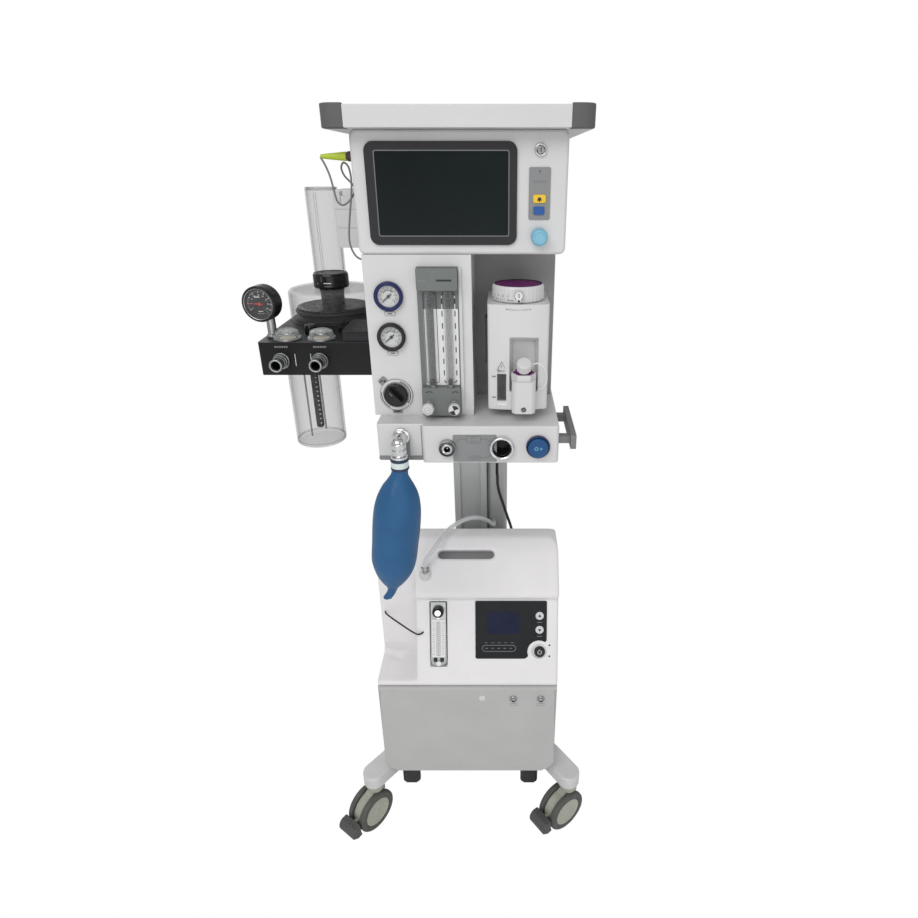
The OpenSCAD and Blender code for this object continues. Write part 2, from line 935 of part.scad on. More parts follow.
module airway_gauge() {
    color([0.10, 0.10, 0.10]) {
        difference() {
            on_airway() rod_y([0, 0], [-14, 14], airway_d / 2);
            on_airway() rod_y([0, 0], [-16, -8], airway_d / 2 - 5);
            on_airway() rod_y([0, 0], [-10, 0], 1.2 + fit);
        }
        place() rod_z([-334, 88], [1171, 1244], 7.5);
        difference() {
            on_airway() rod_y([0, 0], [14, 28], 8);
            place() rod_z([-334, 88], [1171, 1244], 7.5);
        }
    }
}

module airway_needle() {
    color([0.75, 0.15, 0.12]) on_airway()
        rotate([0, 90, 0])
            pointer([-10, -9], 18, 3, 7);
}

// Module on the left of the display head, with the hook that holds the sensor lead
module side_module() {
    color([0.84, 0.84, 0.84]) place() {
        difference() {
            slab([-226, head_left], [170, 262], [1309, 1402], 5);
            for (z = [1340, 1370]) slab([-240, -146], [160, 171.5], [z, z + 2], 0);
            slab([-152, -140], [160, 270], [1300, 1410], 0);
        }
        slab([-188, head_left], [42, 56], [1384, 1398], 2);
        slab([-188, -183], [40, 58], [1384, 1404], 2);
        rod_x([20, 1451], [-163, head_left], 6.5);
    }
}

// ---- Cords ----

module oxygen_hose() {
    color([0.86, 0.88, 0.90]) place()
        cord(HOSE, hose_d, [0.9, -0.43, 0]);
}

module power_cable() {
    color([0.06, 0.06, 0.06]) place() {
        cord(LEAD, lead_d, [1, 0, 0]);
        // plug in the concentrator's mains inlet
        slab([86, 110], [300, 345], [490, 516], 3);
    }
}

module sensor_cable() {
    color([0.62, 0.62, 0.60]) place() {
        cord(SENSOR, sensor_d, [0, 1, 0.1], 8);
        translate([-163, 20, 1451])
            rotate([0, -90, 0])
                cylinder(h = 38, r1 = 6, r2 = 2.6);
    }
}

base_frame();
leg_covers();
mast();
concentrator_shell();
concentrator_cover();
control_panel();
concentrator_core();
oxygen_flowmeter();
bottle_strap();
cabinet();
display_housing();
display_screen();
top_tray();
tray_corners();
gas_plate();
pressure_gauges();
flowmeter_panel();
vaporizer_body();
worktop();
outlet_ports();
side_rail();
circuit_block();
breathing_ports();
valve_domes();
airway_gauge();
bellows_housing();
relief_tube();
bag_elbow();
side_module();
caster_fork(0);  // caster_fork_fl
caster_fork(1);  // caster_fork_fr
caster_fork(2);  // caster_fork_rl
caster_fork(3);  // caster_fork_rr
caster_wheel(0);  // caster_wheel_fl
caster_wheel(1);  // caster_wheel_fr
caster_wheel(2);  // caster_wheel_rl
caster_wheel(3);  // caster_wheel_rr
brake_pedal(0);  // brake_pedal_fl
brake_pedal(1);  // brake_pedal_fr
encoder_knob();
selector_knob();
flow_knob(O2_KNOB);  // o2_flow_knob
flow_knob(AIR_KNOB);  // air_flow_knob
vaporizer_dial();
filler_cap();
flush_button();
breathing_bag();
absorber_canister();
bellows();
bellows_disc();
power_button();
concentrator_knob();
gauge_needle(O2_GAUGE);  // o2_needle
gauge_needle(AIR_GAUGE);  // air_needle
airway_needle();
valve_disc(VALVES[0]);  // inhale_disc
valve_disc(VALVES[1]);  // exhale_disc
oxygen_hose();
power_cable();
sensor_cable();
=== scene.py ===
from math import atan2, cos, hypot, pi, radians, sin

import bmesh
import bpy
from mathutils import Matrix, Vector, noise


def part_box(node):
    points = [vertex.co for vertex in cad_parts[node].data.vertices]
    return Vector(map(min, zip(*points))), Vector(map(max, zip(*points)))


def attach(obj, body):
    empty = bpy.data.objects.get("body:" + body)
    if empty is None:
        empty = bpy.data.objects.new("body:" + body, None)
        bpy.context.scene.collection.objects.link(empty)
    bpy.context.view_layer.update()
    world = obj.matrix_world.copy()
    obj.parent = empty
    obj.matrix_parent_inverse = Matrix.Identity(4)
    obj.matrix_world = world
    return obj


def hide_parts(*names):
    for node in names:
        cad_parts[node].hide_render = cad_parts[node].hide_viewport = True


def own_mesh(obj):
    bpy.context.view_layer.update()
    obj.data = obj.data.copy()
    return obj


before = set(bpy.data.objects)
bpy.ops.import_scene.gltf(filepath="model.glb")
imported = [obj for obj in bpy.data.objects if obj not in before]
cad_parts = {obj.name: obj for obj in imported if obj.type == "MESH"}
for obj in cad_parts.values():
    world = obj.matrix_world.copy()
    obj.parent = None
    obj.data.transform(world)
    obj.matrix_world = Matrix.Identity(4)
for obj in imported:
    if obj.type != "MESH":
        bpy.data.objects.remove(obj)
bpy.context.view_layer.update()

# Everything is drawn in millimetres: x from the middle of the cabinet, y from its front plate, z up.
CABINET_LEFT = -151
PLATE_THICKNESS = 6
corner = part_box("cabinet")[0]
ORIGIN = Vector((corner.x - CABINET_LEFT * 0.001, corner.y - PLATE_THICKNESS * 0.001, 0))
TO_WORLD = Matrix.Translation(ORIGIN) @ Matrix.Scale(0.001, 4)

SMOOTH_ANGLE = radians(38)


# ---- Frames to draw in: u, v and w are a shape's own width, height and thickness ----

def frame_of(origin, u, v, w):
    m = Matrix((u, v, w)).transposed().to_4x4()
    m.translation = Vector(origin)
    return m


UP = Matrix.Identity(4)


def front(x=0, z=0, y=0):
    """u to the right, v up, w towards the viewer."""
    return frame_of((x, y, z), (1, 0, 0), (0, 0, 1), (0, -1, 0))


def back(x=0, z=0, y=0):
    return frame_of((x, y, z), (-1, 0, 0), (0, 0, 1), (0, 1, 0))


def upright(x=0, y=0, z=0):
    return Matrix.Translation((x, y, z))


def side(x=0, y=0, z=0):
    """u to the back, v up, w to the right."""
    return frame_of((x, y, z), (0, 1, 0), (0, 0, 1), (1, 0, 0))


LEAN = radians(18)
LEAN_FOOT = (0, 48, 428)


def leaning(x=0, v=0, w=0):
    """On the concentrator's leaning face: u right, v up the face, w out of it."""
    base = frame_of(LEAN_FOOT, (1, 0, 0), (0, sin(LEAN), cos(LEAN)), (0, -cos(LEAN), sin(LEAN)))
    return base @ Matrix.Translation((x, v, w))


HOOD_SLOPE = radians(50)


def on_hood(x, y, z):
    """On the concentrator's sloping hood: u right, v up the slope, w out of it."""
    c, s = cos(HOOD_SLOPE), sin(HOOD_SLOPE)
    return frame_of((x, y, z), (1, 0, 0), (0, c, s), (0, -s, c))


# ---- Materials ----

def nodes_of(name):
    m = bpy.data.materials.new(name)
    m.use_nodes = True
    return m, m.node_tree.nodes, m.node_tree.links


def noise_node(n, l, scale, detail=3.0, stretch=None):
    where = n.new("ShaderNodeTexCoord")
    source = where.outputs["Object"]
    if stretch:
        mapping = n.new("ShaderNodeMapping")
        mapping.inputs["Scale"].default_value = stretch
        l.new(source, mapping.inputs["Vector"])
        source = mapping.outputs["Vector"]
    tex = n.new("ShaderNodeTexNoise")
    tex.inputs["Scale"].default_value = scale
    tex.inputs["Detail"].default_value = detail
    l.new(source, tex.inputs["Vector"])
    return tex.outputs["Fac"]


def ramp(n, l, source, low, high, low_at=0.3, high_at=0.7):
    r = n.new("ShaderNodeMapRange")
    r.inputs["From Min"].default_value = low_at
    r.inputs["From Max"].default_value = high_at
    r.inputs["To Min"].default_value = low
    r.inputs["To Max"].default_value = high
    l.new(source, r.inputs["Value"])
    return r.outputs["Result"]


def grained(n, l, shader, strength, depth, scale, detail=2.0, stretch=None):
    relief = n.new("ShaderNodeBump")
    relief.inputs["Strength"].default_value = strength
    relief.inputs["Distance"].default_value = depth
    l.new(noise_node(n, l, scale, detail, stretch), relief.inputs["Height"])
    l.new(relief.outputs["Normal"], shader.inputs["Normal"])


def tint(n, l, source, colour, other):
    mix = n.new("ShaderNodeMix")
    mix.data_type = "RGBA"
    mix.inputs["A"].default_value = (*colour, 1)
    mix.inputs["B"].default_value = (*other, 1)
    l.new(source, mix.inputs["Factor"])
    return mix.outputs["Result"]


def surface(name, colour, rough=0.4, metal=0.0, vary=0.06, patch=14, grain=900, bump=0.08, depth=0.0002,
        stretch=None, coat=0.0, sheen=0.0, edge_wear_and_highlight=None, edge=0.5, shine=0.5):
    """Opaque material: blotchy colour, uneven gloss and a fine grain, all worked out by nodes."""
    m, n, l = nodes_of(name)
    b = n["Principled BSDF"]
    darker = tuple(c * (1 - vary) for c in colour)
    lighter = tuple(min(1, c * (1 + vary)) for c in colour)
    result = tint(n, l, ramp(n, l, noise_node(n, l, patch, 4), 0, 1), darker, lighter)
    # lighter sharp edges: partly real edge wear, partly a painted highlight along the edges
    if edge_wear_and_highlight:
        point = n.new("ShaderNodeNewGeometry").outputs["Pointiness"]
        wear_and_highlight_mix = n.new("ShaderNodeMix")
        wear_and_highlight_mix.data_type = "RGBA"
        l.new(ramp(n, l, point, 0, 0.75, edge + 0.02, edge + 0.08), wear_and_highlight_mix.inputs["Factor"])
        l.new(result, wear_and_highlight_mix.inputs["A"])
        wear_and_highlight_mix.inputs["B"].default_value = (*edge_wear_and_highlight, 1)
        result = wear_and_highlight_mix.outputs["Result"]
    l.new(result, b.inputs["Base Color"])
    l.new(ramp(n, l, noise_node(n, l, patch * 5, 3, stretch), rough - 0.05, rough + 0.06),
        b.inputs["Roughness"])
    grained(n, l, b, bump, depth, grain, 2, stretch)
    b.inputs["Metallic"].default_value = metal
    b.inputs["Coat Weight"].default_value = coat
    b.inputs["Sheen Weight"].default_value = sheen
    b.inputs["Specular IOR Level"].default_value = shine
    return m


def clear(name, colour, haze=0.10, gloss=0.06, edge_dark=0.55, rim=1.35):
    """Thin clear plastic: straight through when seen square on, grey and glossy at its edges."""
    m, n, l = nodes_of(name)
    b = n["Principled BSDF"]
    b.inputs["Base Color"].default_value = (*colour, 1)
    l.new(ramp(n, l, noise_node(n, l, 30, 3), gloss, gloss + 0.06), b.inputs["Roughness"])
    grained(n, l, b, 0.05, 0.0003, 70)
    through = n.new("ShaderNodeBsdfTransparent")
    through.inputs["Color"].default_value = (0.96, 0.96, 0.96, 1)
    facing = n.new("ShaderNodeLayerWeight")
    facing.inputs["Blend"].default_value = 0.5
    power = n.new("ShaderNodeMath")
    power.operation = "POWER"
    l.new(facing.outputs["Facing"], power.inputs[0])
    power.inputs[1].default_value = rim * 2
    share = n.new("ShaderNodeMapRange")
    share.inputs["To Min"].default_value = haze
    share.inputs["To Max"].default_value = edge_dark
    l.new(power.outputs[0], share.inputs["Value"])
    mix = n.new("ShaderNodeMixShader")
    l.new(share.outputs["Result"], mix.inputs["Fac"])
    l.new(through.outputs[0], mix.inputs[1])
    l.new(b.outputs[0], mix.inputs[2])
    l.new(mix.outputs[0], n["Material Output"].inputs["Surface"])
    return m


WHITE = surface("white_moulding", (0.64, 0.635, 0.635), 0.38, vary=0.025, bump=0.06, coat=0.1)
CASE = surface("concentrator_white", (0.80, 0.785, 0.795), 0.42, vary=0.02, bump=0.08)
# painted shade: dark grey standing in for the shade inside the display bay
BAY_PAINTED_SHADE = surface("bay_painted_shade", (0.30, 0.30, 0.30), 0.5, vary=0.03)
# painted shade: the lower cover's grey stands in for the shade on its upright face
COVER_PAINTED_SHADE = surface("lower_cover_painted_shade", (0.47, 0.47, 0.465), 0.55, vary=0.03, grain=1500, bump=0.2)
PALE = surface("pale_grey", (0.62, 0.62, 0.625), 0.45, vary=0.03)
LABEL = surface("label_grey", (0.235, 0.24, 0.243), 0.5, vary=0.02, grain=2500)
PLATE = surface("flow_plate_grey", (0.150, 0.162, 0.160), 0.45, vary=0.03, grain=1800, bump=0.12)
ALUMINIUM = surface("anodised_aluminium", (0.47, 0.48, 0.48), 0.4, 0.45, vary=0.03, grain=700, bump=0.1,
    stretch=(1, 1, 0.02))
STEEL = surface("powder_grey", (0.16, 0.165, 0.17), 0.55, 0.2, grain=1800, bump=0.3)
RAIL = surface("rail_grey", (0.20, 0.20, 0.205), 0.5, 0.3, grain=1600, bump=0.2)
CHROME = surface("chrome", (0.72, 0.73, 0.74), 0.12, 1.0, vary=0.03, bump=0.03, patch=40)
SATIN = surface("satin_nickel", (0.40, 0.41, 0.41), 0.3, 1.0, vary=0.05, bump=0.06, grain=1200)
# its lighter edges are partly real wear and partly a painted highlight
BLACK = surface("black_anodised", (0.006, 0.006, 0.007), 0.42, vary=0.15, grain=1600, bump=0.12, shine=0.2,
    edge_wear_and_highlight=(0.06, 0.06, 0.065))
GLOSS_BLACK = surface("gloss_black", (0.008, 0.008, 0.009), 0.25, vary=0.1, shine=0.35)
BEZEL = surface("bezel_grey", (0.030, 0.030, 0.033), 0.38, vary=0.05, bump=0.04, shine=0.2)
SCREEN = surface("screen_glass", (0.006, 0.010, 0.010), 0.3, vary=0.3, patch=5, bump=0.01, shine=0.12)
PANEL = surface("panel_black", (0.011, 0.013, 0.015), 0.35, vary=0.1, patch=8, bump=0.03, shine=0.2)
LCD = surface("lcd_navy", (0.008, 0.011, 0.036), 0.3, vary=0.3, patch=12, bump=0.01, shine=0.15)
BUMPER = surface("bumper_grey", (0.100, 0.100, 0.102), 0.6, vary=0.05, grain=1500, bump=0.3)
RUBBER = surface("black_rubber", (0.016, 0.016, 0.017), 0.55, vary=0.2, patch=40, bump=0.25)
BELLOWS_RUBBER = surface("bellows_rubber", (0.008, 0.008, 0.009), 0.45, vary=0.2, patch=40, bump=0.15,
    shine=0.4)
TYRE = surface("tyre_grey", (0.085, 0.087, 0.078), 0.62, vary=0.12, patch=60, bump=0.35, grain=700)
HUB = surface("hub_olive", (0.40, 0.415, 0.345), 0.5, vary=0.05, patch=30, bump=0.15)
PEDAL = surface("pedal_grey", (0.075, 0.076, 0.074), 0.55, vary=0.08, bump=0.3)
BLUE_RING = surface("gauge_blue", (0.007, 0.012, 0.085), 0.32, vary=0.06, shine=0.35)
FACE = surface("dial_face", (0.74, 0.75, 0.75), 0.5, vary=0.02)
INK = surface("ink_black", (0.015, 0.015, 0.016), 0.5, vary=0.1)
WHITE_INK = surface("ink_white", (0.80, 0.80, 0.80), 0.5, vary=0.02)
GREY_INK = surface("ink_grey", (0.20, 0.20, 0.21), 0.5, vary=0.05)
RED = surface("needle_red", (0.45, 0.02, 0.02), 0.4, vary=0.05)
YELLOW = surface("key_yellow", (0.80, 0.52, 0.02), 0.4, vary=0.03)
KEY_BLUE = surface("key_blue", (0.010, 0.085, 0.32), 0.4, vary=0.05)
SKY = surface("encoder_blue", (0.19, 0.46, 0.60), 0.35, vary=0.03, coat=0.2)
FLUSH_BLUE = surface("flush_blue", (0.008, 0.075, 0.22), 0.35, vary=0.06, shine=0.35)
NAVY = surface("flush_navy", (0.010, 0.022, 0.075), 0.35, vary=0.06, coat=0.2)
PURPLE = surface("vaporizer_purple", (0.130, 0.010, 0.115), 0.45, vary=0.05, shine=0.2)
BAG_BLUE = surface("bag_rubber", (0.013, 0.095, 0.235), 0.5, vary=0.09, patch=18, grain=500, bump=0.12,
    sheen=0.05, shine=0.4)
BAND = surface("bag_band", (0.66, 0.76, 0.74), 0.5, vary=0.04)
LIME = surface("connector_lime", (0.42, 0.52, 0.03), 0.4, vary=0.08, patch=60)
BROWN = surface("socket_brown", (0.075, 0.035, 0.055), 0.5, vary=0.1)
LEAD_GREY = surface("lead_grey", (0.17, 0.17, 0.165), 0.5, vary=0.06)
DISC = surface("valve_disc", (0.62, 0.55, 0.42), 0.4, vary=0.05)
CORE = surface("cast_metal", (0.32, 0.33, 0.34), 0.45, 0.8, vary=0.08, bump=0.3, grain=400)
CLEAR = clear("clear_plastic", (0.26, 0.26, 0.265), haze=0.10)
DOME = clear("clear_dome", (0.75, 0.78, 0.80), haze=0.06, edge_dark=0.75, rim=1.1)
TUBE = clear("clear_tube", (0.42, 0.43, 0.44), haze=0.10, edge_dark=0.75, rim=1.0)
HOSE = clear("clear_hose", (0.80, 0.82, 0.83), haze=0.42, edge_dark=0.9, rim=0.8)
GLASS = clear("gauge_glass", (0.8, 0.8, 0.8), haze=0.04, edge_dark=0.3)


# ---- Outlines ----

def arc(cx, cy, r, start, end, steps=6):
    return [(cx + r * cos(radians(start + (end - start) * i / steps)),
        cy + r * sin(radians(start + (end - start) * i / steps))) for i in range(steps + 1)]


def block(u0, u1, v0, v1, r=0.0, steps=6):
    """Rectangle with rounded corners, anticlockwise."""
    if r <= 0:
        return [(u0, v0), (u1, v0), (u1, v1), (u0, v1)]
    return (arc(u1 - r, v1 - r, r, 0, 90, steps) + arc(u0 + r, v1 - r, r, 90, 180, steps) + arc(u0 + r,
        v0 + r, r, 180, 270, steps) + arc(u1 - r, v0 + r, r, 270, 360, steps))


def ring(r, steps=48):
    return arc(0, 0, r, 0, 360, steps)[:-1]


def soft(points, r, closed=True, steps=5):
    """The same outline with each corner rounded by about r."""
    out, count = [], len(points)
    for i, p in enumerate(points):
        p = Vector(p)
        if not closed and i in (0, count - 1):
            out.append(tuple(p))
            continue
        a, b = Vector(points[i - 1]), Vector(points[(i + 1) % count])
        near = min(r, (a - p).length * 0.45, (b - p).length * 0.45)
        a, b = p + (a - p).normalized() * near, p + (b - p).normalized() * near
        for k in range(steps + 1):
            t = k / steps
            out.append(tuple(a * (1 - t) ** 2 + p * 2 * t * (1 - t) + b * t ** 2))
    return out


# ---- Shapes, each a new bmesh in its own u, v, w ----

def prism(outline, w0, w1, edge=0.0, back_edge=0.0, steps=3):
    """Outline pulled from w0 to w1, with its front and back rims rounded."""
    bm = bmesh.new()
    loops = [[bm.verts.new((u, v, w)) for u, v in outline] for w in (w0, w1)]
    count = len(outline)
    bm.faces.new(loops[0][::-1])
    bm.faces.new(loops[1])
    for i in range(count):
        j = (i + 1) % count
        bm.faces.new((loops[0][i], loops[0][j], loops[1][j], loops[1][i]))
    for w, size in ((w1, edge), (w0, back_edge)):
        if size > 0:
            rim = [e for e in bm.edges if all(abs(v.co.z - w) < 1e-6 for v in e.verts)]
            bmesh.ops.bevel(bm, geom=rim, offset=size, segments=steps, profile=0.5, affect="EDGES",
                clamp_overlap=False)
    return bm


def lathe(profile, steps=56, wave=None):
    """Profile of (radius, w) turned about w. wave is (count, depth, smallest radius it touches)."""
    bm = bmesh.new()
    rows = []
    for r, w in profile:
        if r < 1e-6:
            rows.append([bm.verts.new((0, 0, w))])
            continue
        row = []
        for i in range(steps):
            a = 2 * pi * i / steps
            rr = r + (wave[1] * cos(wave[0] * a) if wave and r >= wave[2] else 0)
            row.append(bm.verts.new((rr * cos(a), rr * sin(a), w)))
        rows.append(row)
    for a, b in zip(rows, rows[1:]):
        for i in range(steps):
            j = (i + 1) % steps
            if len(a) == 1 and len(b) == 1:
                continue
            if len(a) == 1:
                bm.faces.new((a[0], b[j], b[i]))
            elif len(b) == 1:
                bm.faces.new((a[i], a[j], b[0]))
            else:
                bm.faces.new((a[i], a[j], b[j], b[i]))
    if len(rows[0]) > 1 and len(rows[-1]) > 1 and (Vector(profile[0]) - Vector(profile[-1])).length < 1e-6:
        bmesh.ops.remove_doubles(bm, verts=bm.verts, dist=1e-4)
    else:
        for row in (rows[0], rows[-1]):
            if len(row) > 1:
                bm.faces.new(row)
    bmesh.ops.recalc_face_normals(bm, faces=bm.faces)
    return bm


def turned(points, r=0.8, steps=56, wave=None, hollow=False):
    """Lathe of a profile whose corners are rounded."""
    profile = soft(points, r, closed=hollow, steps=3)
    return lathe(profile + profile[:1] if hollow else profile, steps, wave)


def pipe(points, r=0.8, steps=56):
    """Turned ring, from its closed profile."""
    return turned(points, r, steps, hollow=True)


def catmull(points, per=6):
    """Smooth line through the points."""
    p = [Vector(q) for q in points]
    p = [p[0] * 2 - p[1]] + p + [p[-1] * 2 - p[-2]]
    out = []
    for i in range(1, len(p) - 2):
        for k in range(per):
            t = k / per
            out.append(0.5 * (2 * p[i] + (p[i + 1] - p[i - 1]) * t + (2 * p[i - 1] - 5 * p[i] + 4 * p[i + 1]
                - p[i + 2]) * t ** 2 + (3 * p[i] - p[i - 1] - 3 * p[i + 1] + p[i + 2]) * t ** 3))
    return out + [p[-2]]


def sweep(path, r, sides=12, bore=0.0):
    """Round tube along a path; with a bore it is hollow."""
    path = [Vector(p) for p in path]
    bm = bmesh.new()
    tangent = (path[1] - path[0]).normalized()
    across = tangent.orthogonal().normalized()
    rings = {}
    for i, p in enumerate(path):
        ahead = (path[min(i + 1, len(path) - 1)] - path[max(i - 1, 0)]).normalized()
        across = (across - ahead * across.dot(ahead)).normalized()
        other = ahead.cross(across)
        for size in ([r, bore] if bore else [r]):
            rings.setdefault(size,
                []).append([bm.verts.new(p + size * (cos(2 * pi * k / sides) * across + sin(2 * pi * k /
                sides) * other)) for k in range(sides)])
    for rows in rings.values():
        for a, b in zip(rows, rows[1:]):
            for k in range(sides):
                j = (k + 1) % sides
                bm.faces.new((a[k], a[j], b[j], b[k]))
    for end in (0, -1):
        if bore:
            o, n = rings[r][end], rings[bore][end]
            for k in range(sides):
                j = (k + 1) % sides
                bm.faces.new((o[k], o[j], n[j], n[k]))
        else:
            bm.faces.new(rings[r][end])
    bmesh.ops.recalc_face_normals(bm, faces=bm.faces)
    return bm


def cad(node, width=0.0, pick=lambda e: True, steps=2):
    """A CAD node's own solid, in millimetres of the drawing, with its sharp edges rounded."""
    bm = bmesh.new()
    bm.from_mesh(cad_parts[node].data)
    bmesh.ops.transform(bm, matrix=TO_WORLD.inverted(), verts=bm.verts)
    bmesh.ops.remove_doubles(bm, verts=bm.verts, dist=0.02)
    bmesh.ops.dissolve_limit(bm, angle_limit=radians(0.6), verts=bm.verts, edges=bm.edges)
    round_edges(bm, width, pick, steps)
    return bm


def round_edges(bm, width, pick=lambda e: True, steps=2):
    if width > 0:
        edges = [e for e in bm.edges if e.is_manifold and e.calc_face_angle(0) > radians(32) and pick(e)]
        bmesh.ops.bevel(bm, geom=edges, offset=width, segments=steps, profile=0.5, affect="EDGES",
            clamp_overlap=False)


def middle(e):
    return (e.verts[0].co + e.verts[1].co) / 2


def joined(items, name, body="machine"):
    """items is a list of (bmesh, material, frame). Makes them one piece that rides on a body, in place of
    the CAD node of the same name, if there is one."""
    mesh = bpy.data.meshes.new(name)
    whole, materials = bmesh.new(), []
    for bm, material, m in items:
        if material not in materials:
            materials.append(material)
        for f in bm.faces:
            f.material_index = materials.index(material)
        bmesh.ops.transform(bm, matrix=m, verts=bm.verts)
        part = bpy.data.meshes.new("part")
        bm.to_mesh(part)
        bm.free()
        whole.from_mesh(part)
        bpy.data.meshes.remove(part)
    for f in whole.faces:
        f.smooth = True
    for e in whole.edges:
        e.smooth = e.is_manifold and e.calc_face_angle(0) < SMOOTH_ANGLE
    bmesh.ops.transform(whole, matrix=TO_WORLD, verts=whole.verts)
    whole.to_mesh(mesh)
    whole.free()
    for material in materials:
        mesh.materials.append(material)
    obj = bpy.data.objects.new(name + "_form", mesh)
    bpy.context.scene.collection.objects.link(obj)
    weigh = obj.modifiers.new("even shading", "WEIGHTED_NORMAL")
    weigh.keep_sharp = True
    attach(obj, body)
    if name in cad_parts:
        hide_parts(name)
    return obj


def refine(node, material, width, pick=lambda e: True, steps=2, extra=(), body="machine"):
    """A CAD node's own shape with rounded edges and a new material."""
    items = [(cad(node, width, pick, steps), material, UP)]
    return joined(items + list(extra), node, body)


def border(u0, u1, v0, v1, r, width, w0, w1, steps=4):
    """Rounded rectangular line."""
    bm = bmesh.new()
    outer = block(u0, u1, v0, v1, r, steps)
    inner = block(u0 + width, u1 - width, v0 + width, v1 - width, max(r - width, 0.05), steps)
    low = [[bm.verts.new((u, v, w0)) for u, v in o] for o in (outer, inner)]
    high = [[bm.verts.new((u, v, w1)) for u, v in o] for o in (outer, inner)]
    count = len(outer)
    for i in range(count):
        j = (i + 1) % count
        bm.faces.new((high[0][i], high[0][j], high[1][j], high[1][i]))
        bm.faces.new((low[0][j], low[0][i], low[1][i], low[1][j]))
        bm.faces.new((low[0][i], low[0][j], high[0][j], high[0][i]))
        bm.faces.new((low[1][j], low[1][i], high[1][i], high[1][j]))
    return bm


def band(r, width, start, end, w0, w1, steps=16):
    """Arc-shaped line of radius r, from the start angle to the end angle."""
    outer = arc(0, 0, r + width / 2, start, end, steps)
    inner = arc(0, 0, r - width / 2, end, start, steps)
    return prism(outer + inner, w0, w1)


def bar(u, v, length, width, w0, w1, turn=0.0):
    """Straight line, length long, centred at (u, v) and turned anticlockwise."""
    c, s = cos(radians(turn)), sin(radians(turn))
    corners = [(-length / 2, -width / 2), (length / 2, -width / 2), (length / 2, width / 2), (-length / 2,
        width / 2)]
    return prism([(u + a * c - b * s, v + a * s + b * c) for a, b in corners], w0, w1)


def ticks(count, start, sweep_angle, r0, r1, width, w0, w1):
    """Radial marks of a dial."""
    out = []
    for i in range(count):
        a = start + sweep_angle * i / (count - 1)
        r = (r0 + r1) / 2
        out.append(bar(r * cos(radians(a)), r * sin(radians(a)), r1 - r0, width, w0, w1, a))
    return out


def digits(text, size, u=0.0, v=0.0, w=0.0, thick=0.15):
    """Flat numbers for a dial."""
    curve = bpy.data.curves.new("digits", "FONT")
    curve.body, curve.size, curve.extrude, curve.resolution_u = text, size, thick / 2, 2
    curve.align_x, curve.align_y = "CENTER", "CENTER"
    obj = bpy.data.objects.new("digits", curve)
    bpy.context.scene.collection.objects.link(obj)
    bpy.context.view_layer.update()
    bm = bmesh.new()
    bm.from_mesh(obj.evaluated_get(bpy.context.evaluated_depsgraph_get()).to_mesh())
    bpy.data.objects.remove(obj)
    bmesh.ops.translate(bm, verts=bm.verts, vec=(u, v, w + thick / 2))
    return bm


def changed(bm, *modifiers):
    """The shape after Blender's own modifiers, each (type, {setting: value}); a bmesh value is a cutter."""
    def lay(shape):
        mesh = bpy.data.meshes.new("work")
        shape.to_mesh(mesh)
        shape.free()
        obj = bpy.data.objects.new("work", mesh)
        bpy.context.scene.collection.objects.link(obj)
        return obj
    obj, helpers = lay(bm), []
    for kind, settings in modifiers:
        modifier = obj.modifiers.new(kind, kind)
        for key, value in settings.items():
            if isinstance(value, bmesh.types.BMesh):
                value = lay(value)
                helpers.append(value)
            setattr(modifier, key, value)
    bpy.context.view_layer.update()
    out = bmesh.new()
    out.from_mesh(obj.evaluated_get(bpy.context.evaluated_depsgraph_get()).to_mesh())
    for o in [obj, *helpers]:
        bpy.data.objects.remove(o)
    return out


def cut(bm, *cutters):
    """The shape less each cutter, which is a (bmesh, frame) pair."""
    steps = []
    for cutter, m in cutters:
        bmesh.ops.transform(cutter, matrix=m, verts=cutter.verts)
        steps.append(("BOOLEAN", {"operation": "DIFFERENCE", "solver": "EXACT", "object": cutter}))
    return changed(bm, *steps)


def moved(bm, m):
    bmesh.ops.transform(bm, matrix=m, verts=bm.verts)
    return bm


# ---- Base and casters ----

STEMS = {"fl": (-240, 44), "fr": (218, 44), "rl": (-216, 500), "rr": (194, 500)}
TURNS = {"fl": 53, "fr": 38, "rl": 118, "rr": 66}


def split_at(bm, z):
    geom = list(bm.verts) + list(bm.edges) + list(bm.faces)
    bmesh.ops.bisect_plane(bm, geom=geom, plane_co=(0, 0, z), plane_no=(0, 0, 1))
    return bm


SKIRT_TOP = 138  # where the white of the leg covers ends


def base():
    refine("base_frame", STEEL, 1.5)
    covers = split_at(cad("leg_covers", 3.5, lambda e: middle(e).z > 151, 4), SKIRT_TOP)
    top, skirt = covers.copy(), covers
    bmesh.ops.delete(top, geom=[f for f in top.faces if f.calc_center_median().z < SKIRT_TOP],
        context="FACES")
    bmesh.ops.delete(skirt, geom=[f for f in skirt.faces if f.calc_center_median().z > SKIRT_TOP],
        context="FACES")
    joined([(top, WHITE, UP), (skirt, PALE, UP)], "leg_covers")


